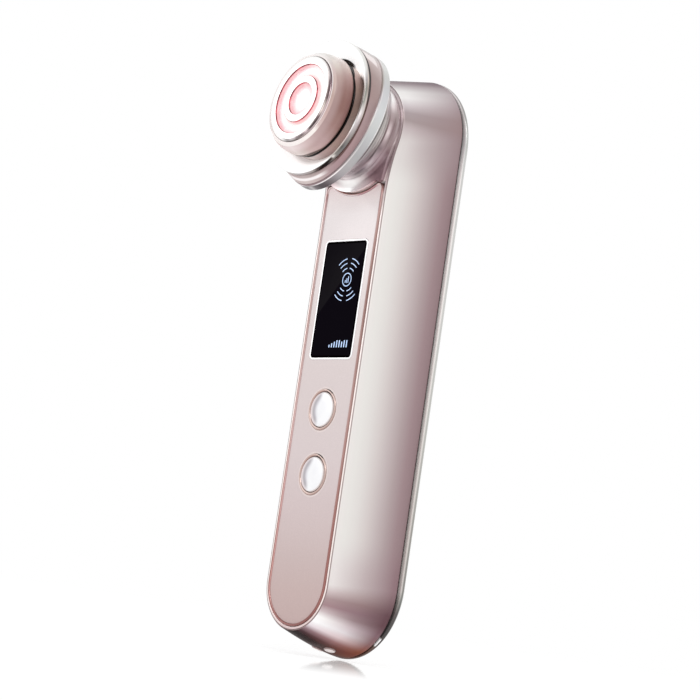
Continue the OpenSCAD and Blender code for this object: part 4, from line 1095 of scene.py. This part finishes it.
def makeIcons():
    # plain wave arcs round a ring with a level mark, and a row of level bars
    icon = {
        "centre": (2.95, 125.3), "line": 0.3, "thick": 0.04,
        "ring": 2.2, "arcs": (3.95, 5.7, 7.3), "from": 10, "to": 46,
        "mark": 1.1, "markStep": 0.75, "markWidth": 0.34, "markHeights": (1.0, 1.6, 2.2),
        "bars": (3.2, 102.1), "barStep": 1.3, "barWidth": 0.5,
        "barHeights": (0.9, 1.4, 1.9, 2.4, 2.4, 1.9, 2.4, 2.4),
    }
    bm = bmesh.new()
    centreX, centreZ = icon["centre"]
    half, thick = icon["line"] / 2, icon["thick"]
    middle = buttonAxis(centreZ) @ Matrix.Translation((centreX, 0, -display["front"]))

    def sweep(radius, start, angle, steps):
        section = [(radius - half, 0), (radius + half, 0), (radius + half, thick), (radius - half, thick)]
        spun(section, middle @ Matrix.Rotation(math.radians(start), 4, "Z"), steps, bm, angle)

    def bars(x, z, step, width, heights):
        for i, tall in enumerate(heights):
            across = x + (i - (len(heights) - 1) / 2) * step
            place = Matrix.Translation((across, frontY + display["front"] - thick / 2, z + tall / 2))
            bmesh.ops.create_cube(bm, size=1, matrix=place @ Matrix.Diagonal((width, thick, tall, 1)))

    sweep(icon["ring"], 0, 360, 48)
    for radius in icon["arcs"]:
        for upright in (90, 270):
            for start in (upright + icon["from"], upright - icon["to"]):
                sweep(radius, start, icon["to"] - icon["from"], 10)
    bars(centreX, centreZ - icon["mark"], icon["markStep"], icon["markWidth"], icon["markHeights"])
    bars(*icon["bars"], icon["barStep"], icon["barWidth"], icon["barHeights"])
    finishPiece("displayIcons", bm, "iconLight")


def buttonAxis(z):
    return Matrix.Translation((0, frontY, z)) @ Matrix.Rotation(math.radians(90), 4, "X")


def makeButtons():
    r, ring, wide = button["radius"], button["ring"], button["ringWidth"]
    for which in ("upper", "lower"):
        place = buttonAxis(button[which])
        cap = [
            (0, -1.4), (r - 0.02, -1.4), (r - 0.02, 0.3, 0.2), (r - 0.22, 0.58, 0.25), (r - 0.8, 0.76, 0.4),
            (r - 2.4, 0.85, 0.6), (0, 0.9)]
        node = which + "_button"
        finishPiece(which + "Cap", spun(cap, place, 96), "pearlCap", [node], node)
        hoop = [
            (ring - wide, -1.3), (ring, -1.3), (ring, 0.3, 0.12), (ring - 0.22, 0.6, 0.16),
            (ring - wide + 0.28, 0.6, 0.16), (ring - wide, 0.25, 0.1)]
        finishPiece(which + "Hoop", spun(hoop, place, 96), "buttonRing", [node + "_ring"])


def makeContacts():
    # two domed pads, set nearly flush with the sloping foot
    bm = bmesh.new()
    r = contact["radius"]
    dome = [
        (0, -0.1), (r * 0.6, -0.02, 0.4), (r - 0.25, 0.12, 0.15), (r, 0.4, 0.1), (r - 0.2, 3.0), (0, 3.0)]
    for side in (-1, 1):
        place = Matrix.Translation((side * contact["x"], frontY + contact["depth"], contact["level"]))
        place @= Matrix.Rotation(math.radians(-contact["slope"]), 4, "X")
        place @= Matrix.Rotation(math.radians(-side * contact["lean"]), 4, "Y")
        spun(dome, place, 48, bm)
    finishPiece("contactPair", bm, "contactMetal", ["charge_contacts"])


def makeRear():
    # each section gives the depth, then how far the outline stands in at the sides and at the ends
    def loops(section):
        half, tall = handset["halfWidth"], handset["height"]
        return [(stadiumOutline(half - side, end, tall - end), depth) for depth, side, end in section]

    band = [
        (24.22, 1.15, 0.3), (24.26, 0.8, 0.18), (24.4, 0.42, 0.09), (24.6, 0.16, 0.03), (24.85, 0.02, 0.0),
        (25.1, 0.02, 0.02), (25.35, 0.16, 0.1), (25.6, 0.42, 0.26), (25.82, 0.75, 0.46), (25.98, 1.15, 0.7),
        (25.96, 2.34, 1.6), (24.24, 2.34, 1.6)]
    finishPiece("rearBand", lofted(loops(band)), "rearBand", ["rear_band"])
    cover = [
        (25.9, 2.5, 1.8), (26.0, 1.3, 0.8), (26.25, 1.42, 0.92), (26.6, 1.66, 1.18), (27.0, 2.0, 1.6),
        (27.4, 2.44, 2.05), (27.8, 2.96, 2.62), (28.1, 3.42, 3.2), (28.35, 3.92, 3.8), (28.5, 4.36, 4.3),
        (28.58, 4.8, 4.8), (28.6, 5.3, 5.3)]
    finishPiece("rearShell", lofted(loops(cover), True), "coverGloss", ["rear_cover"])


# the neck and the collar
def ringPoints(place, width, height, reach, count=144):
    return [place @ Vector((width * math.cos(a), height * math.sin(a), reach))
            for a in (math.tau * i / count for i in range(count))]


neck = {"foot": 18.7, "waist": 18.2, "groundDepth": -4.2}


def between(first, second, share, swellBy):
    # points on the way from one ring to the other, pushed out from the ring's middle
    way = [a.lerp(b, share) for a, b in zip(first, second)]
    middle = sum(way, Vector()) / len(way)
    return [p + (p - middle).normalized() * swellBy for p in way]


def setOnNeck(bm):
    # above its middle the neck's foot is as flat as the boss, and turns round towards the collar
    flat = (neck["foot"] - handset["bossRadius"] + handset["bossRise"]) / neck["foot"]
    for vert in bm.verts:
        if vert.co.y > 0:
            way = min(max(vert.co.z / collar["baseReach"], 0), 1)
            vert.co.y *= flat + (1 - flat) * way * way * (3 - 2 * way)
    bmesh.ops.transform(bm, matrix=headAxis, verts=bm.verts)


def makeNeck():
    foot = neck["foot"]
    narrow, wide = neck["waist"], collar["baseRadius"] - 0.1
    profile = [
        (12, 0.5), (foot - 0.4, 0.5), (foot, 1.8, 0.4), (foot - 0.12, 2.6, 0.4), (narrow + 0.1, 3.4, 0.5),
        (narrow, 4.3, 0.6), (narrow + 0.3, 5.5, 0.6), (wide - 0.2, 6.4, 0.4), (wide, 7.2), (wide, 8.0),
        (12, 8.0)]
    waist = spun(profile, Matrix.Identity(4))
    setOnNeck(waist)
    trimmed(waist, collarAxis, collar["lightReach"], clear_outer=True)
    bmesh.ops.holes_fill(waist, edges=waist.edges[:])
    finishPiece("neckWaist", waist, "neck")
    # the ground above the panel, which sweeps up into the waist
    profile = [
        (0, -6), (24, -6), (24, -0.3), (foot + 2.6, 0, 0.4), (foot + 1.5, 0.3, 0.6), (foot + 0.5, 1.0, 0.6),
        (foot, 1.9, 0.4), (foot, 2.4), (0, 2.4)]
    flare = spun(profile, Matrix.Identity(4))
    setOnNeck(flare)
    ground = lofted([(groundOutline(), neck["groundDepth"]), (groundOutline(), 1.3)], True)
    whole = placed("flare", cleaned(flare))
    apron = bmesh.new()
    apron.from_mesh(carved(whole, placed("ground", cleaned(ground)), "INTERSECT"))
    bpy.data.objects.remove(whole)
    finishPiece("neckApron", apron, "neck", ["neck_housing"])


def groundOutline():
    # the boss's outline above the panel's scoop, a little inside the trim
    gap = 0.05
    x, z, over, _ = hornPlace()
    outer = [p for p in rimOutline(handset["rimHalf"] - panel["half"] + gap) if p[1] > z + 1]
    right = arc(x, z, panel["hornRadius"] + gap, 20, over, 12)
    left = [(-across, up) for across, up in right]
    return outer + left + scoopArc(gap)[::-1] + right[::-1]


def makeCollar():
    wide, tall = collar["halfWidth"], collar["halfHeight"]
    # silver wedge between the round neck and the oval light ring
    rear = ringPoints(headAxis, collar["baseRadius"], collar["baseRadius"], collar["baseReach"])
    front = ringPoints(collarAxis, wide - 0.75, tall - 0.9, collar["lightReach"] + 0.02)
    inner = ringPoints(headAxis, 15, 15, collar["baseReach"] + 0.05)
    innerFront = ringPoints(collarAxis, 15, 16, collar["lightReach"] - 0.03)
    swells = ((0.0, -0.25), (0.04, 0.02), (0.5, 0.12), (0.94, 0.03))
    loops = [inner] + [between(rear, front, share, out) for share, out in swells] + [front, innerFront]
    wedge = lofted([(loop, None) for loop in loops])
    trimmed(wedge, collarAxis, collar["lightReach"] + 0.01, clear_outer=True)
    trimmed(wedge, headAxis, collar["baseReach"], clear_inner=True)
    bmesh.ops.holes_fill(wedge, edges=wedge.edges[:])
    finishPiece("baseWedge", wedge, "baseRing", ["base_ring"])
    # oval light ring
    low, high = collar["lightReach"], collar["roseSeam"]
    hoop = [
        (17, low + 0.03), (tall - 0.5, low + 0.03, 0.2), (tall, low + 0.5, 0.35),
        (tall + 0.06, (low + high) / 2, 1.0), (tall, high - 0.4, 0.3), (tall - 0.45, high - 0.03, 0.15),
        (17, high - 0.03)]
    ring = spun(hoop, Matrix.Identity(4), 160)
    bmesh.ops.scale(ring, vec=(wide / tall, 1, 1), verts=ring.verts)
    bmesh.ops.transform(ring, matrix=collarAxis, verts=ring.verts)
    finishPiece("ovalLightRing", ring, "lightRing", ["light_ring"])
    # rose collar from the oval seam to the round flange
    rear = ringPoints(collarAxis, wide - 0.16, tall - 0.2, high + 0.03)
    front = ringPoints(headAxis, head["rimRadius"] - 0.1, head["rimRadius"] - 0.1, head["rimReach"] - 0.3)
    inner = ringPoints(collarAxis, 19.6, 21, high + 0.08)
    innerFront = ringPoints(headAxis, 22, 22, head["rimReach"] - 0.4)
    swells = ((0.0, -0.35), (0.015, -0.08), (0.06, 0.05), (0.2, 0.12), (0.4, 0.16), (0.6, 0.16), (0.8, 0.1),
              (0.92, 0.02), (0.975, -0.1), (1.0, -0.35))
    loops = [inner] + [between(rear, front, share, out) for share, out in swells] + [innerFront]
    band = lofted([(loop, None) for loop in loops])
    finishPiece("roseCollarBand", band, "roseCollar", ["rose_collar"])


# the head, in profiles of radius and reach
def makeHead():
    core, rim, back = head["coreRadius"], head["rimRadius"], head["rimReach"]
    flange = [
        (core, 16.0), (17.4, 16.0), (rim - 0.3, back - 0.3), (rim, back, 0.1), (rim, back + 1.4, 0.15),
        (rim - 0.3, back + 1.78, 0.12), (rim - 0.65, back + 1.74, 0.1), (rim - 1.1, back + 1.35, 0.3),
        (20.2, 18.55, 0.8), (18.0, 17.0, 0.6), (17.3, 16.5), (core, 16.5)]
    finishPiece("dishedFlange", spun(flange, headAxis, 160), "flange", ["mirror_flange"])
    skirt = [(core, 16.4), (17.3, 16.4), (17.3, 20.3, 0.2), (16.9, 20.68, 0.15), (core, 20.68)]
    finishPiece("taupeSkirt", spun(skirt, headAxis), "skirt", ["head_skirt"])
    wide = head["drumRadius"]
    drum = [
        (core, 21.32), (wide - 0.3, 21.32, 0.12), (wide - 0.02, 21.6, 0.15), (wide, 23.4, 0.5),
        (wide - 0.08, 25.0, 0.9), (wide - 0.5, 26.9, 0.8), (wide - 1.2, 28.15, 0.5), (16.05, 28.75, 0.3),
        (15.5, 28.95, 0.15), (15.3, 28.75, 0.1), (15.3, 26.5), (core, 26.5)]
    finishPiece("roseDrum", spun(drum, headAxis, 160), "drumGloss", ["head_drum"])
    face, floor = head["faceReach"], head["grooveReach"]
    outer = [
        (12.7, 26.3), (15.2, 26.3), (15.2, face - 0.6, 0.12), (15.02, face - 0.25, 0.14),
        (14.35, face, 0.3), (12.42, face, 0.12), (12.2, face - 0.22, 0.12), (12.2, floor), (12.7, floor)]
    finishPiece("outerLand", spun(outer, headAxis, 160), "faceMetal", ["outer_electrode"])
    ring = [
        (5.6, floor), (8.4, floor), (8.4, face - 0.22, 0.12), (8.2, face, 0.12), (5.8, face, 0.12),
        (5.6, face - 0.22, 0.12)]
    finishPiece("ringLand", spun(ring, headAxis, 128), "faceMetal", ["ring_electrode"])
    window = [
        (0, 27.1), (12.6, 27.1), (12.6, floor - 0.01), (9.5, floor, 0.3), (6.0, floor, 0.3),
        (4.6, floor, 0.4), (3.0, floor + 0.15, 0.6), (0, floor + 0.2)]
    finishPiece("litDisc", spun(window, headAxis, 128), "litWindow", ["led_window"])


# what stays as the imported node, with its own finish
print("finishing the parts that stay")
keptNodes = {
    "front_panel": "blushPanel",
    "display_window": "displayGlass",
    "rear_seal": "sealDark",
    "head_seal": "sealDark",
    "display_module": "darkMoulding",
    "upper_plunger": "darkMoulding",
    "lower_plunger": "darkMoulding",
    "tact_switches": "partsBlack",
    "inner_frame": "naturalMoulding",
    "frame_screws": "screwSteel",
    "main_board": "boardMask",
    "board_parts": "partsBlack",
    "board_screws": "screwSteel",
    "battery_cradle": "naturalMoulding",
    "battery_cell": "cellSleeve",
    "battery_pad": "padFoam",
    "contact_block": "naturalMoulding",
    "charge_wires": "wireRed",
    "neck_screws": "screwSteel",
    "head_core": "naturalMoulding",
    "led_board": "lampBoard",
    "led_lamps": "lampRed",
    "head_ribbon": "ribbonFilm",
}


def dressNodes():
    for name, finish in keptNodes.items():
        slots = nodes[name].material_slots
        if not slots:
            nodes[name].data.materials.append(finishes[finish])
        for slot in slots:
            slot.material = finishes[finish]


dressNodes()
print("making the shell")
makeHousing()
makeRimTrim()
makeBezel()
makeDisplayFrame()
makeIcons()
makeButtons()
makeContacts()
makeRear()
print("making the neck and collar")
makeNeck()
makeCollar()
print("making the head")
makeHead()


# floor and light
studio = {
    "floorTilt": 3.0,
    "floorRadius": 6.0,
    "floorPlace": (0, 0.026, -0.0004),
    "floorGrey": 0.55,
    "floorGlow": 0.62,
    "mirror": 0.72,
    "mirrorFades": (0.03, 0.17),
    "whiteFrom": (0.1, 0.6),
    "worldLight": 0.62,
    "lampTarget": (0, 0, 0.1),
}
# where each lamp stands in metres, how wide it is, and its power in watts
lamps = {
    "keySoftbox": ((0.9, -0.7, 1.0), 0.7, 5.0),
    "fillSoftbox": ((-0.8, -1.0, 0.6), 0.9, 2.5),
}


def whiteForViewers(owner):
    # 1 for camera, glossy and transmission rays
    kinds = ("Is Camera Ray", "Is Glossy Ray", "Is Transmission Ray")
    rays = [owner.node("ShaderNodeLightPath", out=kind) for kind in kinds]
    return rays[0].math("MAXIMUM", rays[1]).math("MAXIMUM", rays[2])


def makeFloor():
    bm = bmesh.new()
    bmesh.ops.create_circle(bm, cap_ends=True, segments=96, radius=studio["floorRadius"])
    floor = placed("studioFloor", bm)
    turn = math.radians(camera["turn"])
    tilt = Matrix.Rotation(math.radians(studio["floorTilt"]), 4, Vector((math.cos(turn), math.sin(turn), 0)))
    floor.matrix_world = Matrix.Translation(studio["floorPlace"]) @ tilt
    f = Finish("studioFloor")
    f.tree.nodes.remove(f.shader)
    spot = f.node("ShaderNodeTexCoord", out="Object")
    away = f.node("ShaderNodeVectorMath", {"operation": "LENGTH"}, {0: spot}, "Value")
    white = (1, 1, 1, 1)
    far = f.step(away, *studio["whiteFrom"]) * whiteForViewers(f)
    lit = f.node("ShaderNodeBsdfDiffuse", links={"Color": (studio["floorGrey"],) * 3 + (1,)})
    glow = f.node("ShaderNodeEmission", links={"Color": white, "Strength": studio["floorGlow"]})
    near = f.node("ShaderNodeAddShader", links={0: lit, 1: glow})
    # a soft mirror image of the foot, gone a little way off
    polish = f.node("ShaderNodeBsdfAnisotropic", links={"Color": white, "Roughness": 0.05})
    grazing = f.node("ShaderNodeLayerWeight", links={"Blend": 0.5}, out="Facing") ** 4
    share = studio["mirror"] * grazing * (1 - f.step(away, *studio["mirrorFades"]))
    near = f.node("ShaderNodeMixShader", links={0: share, 1: near, 2: polish})
    bright = f.node("ShaderNodeEmission", links={"Color": white, "Strength": 1.0})
    surface = f.node("ShaderNodeMixShader", links={0: far, 1: near, 2: bright})
    f.tree.links.new(surface.socket, f.tree.nodes["Material Output"].inputs["Surface"])
    floor.data.materials.append(f.material)


def makeWorld():
    world = bpy.data.worlds.new("softStudio")
    bpy.context.scene.world = world
    world.use_nodes = True
    world.node_tree.nodes.clear()
    sky = Nodes(world.node_tree)
    light, bright = [sky.node("ShaderNodeBackground", links={"Color": (1, 1, 1, 1), "Strength": strength})
                     for strength in (studio["worldLight"], 1.0)]
    both = sky.node("ShaderNodeMixShader", links={0: whiteForViewers(sky), 1: light, 2: bright})
    sky.node("ShaderNodeOutputWorld", links={"Surface": both})


def makeLamp(name, place, size, power):
    data = bpy.data.lights.new(name, "AREA")
    data.shape = "DISK"
    data.size = size
    data.energy = power
    lamp = bpy.data.objects.new(name, data)
    lamp.location = place
    lamp.rotation_euler = (Vector(studio["lampTarget"]) - Vector(place)).to_track_quat("-Z", "Y").to_euler()
    bpy.context.scene.collection.objects.link(lamp)


makeFloor()
makeWorld()
for name, values in lamps.items():
    makeLamp(name, *values)
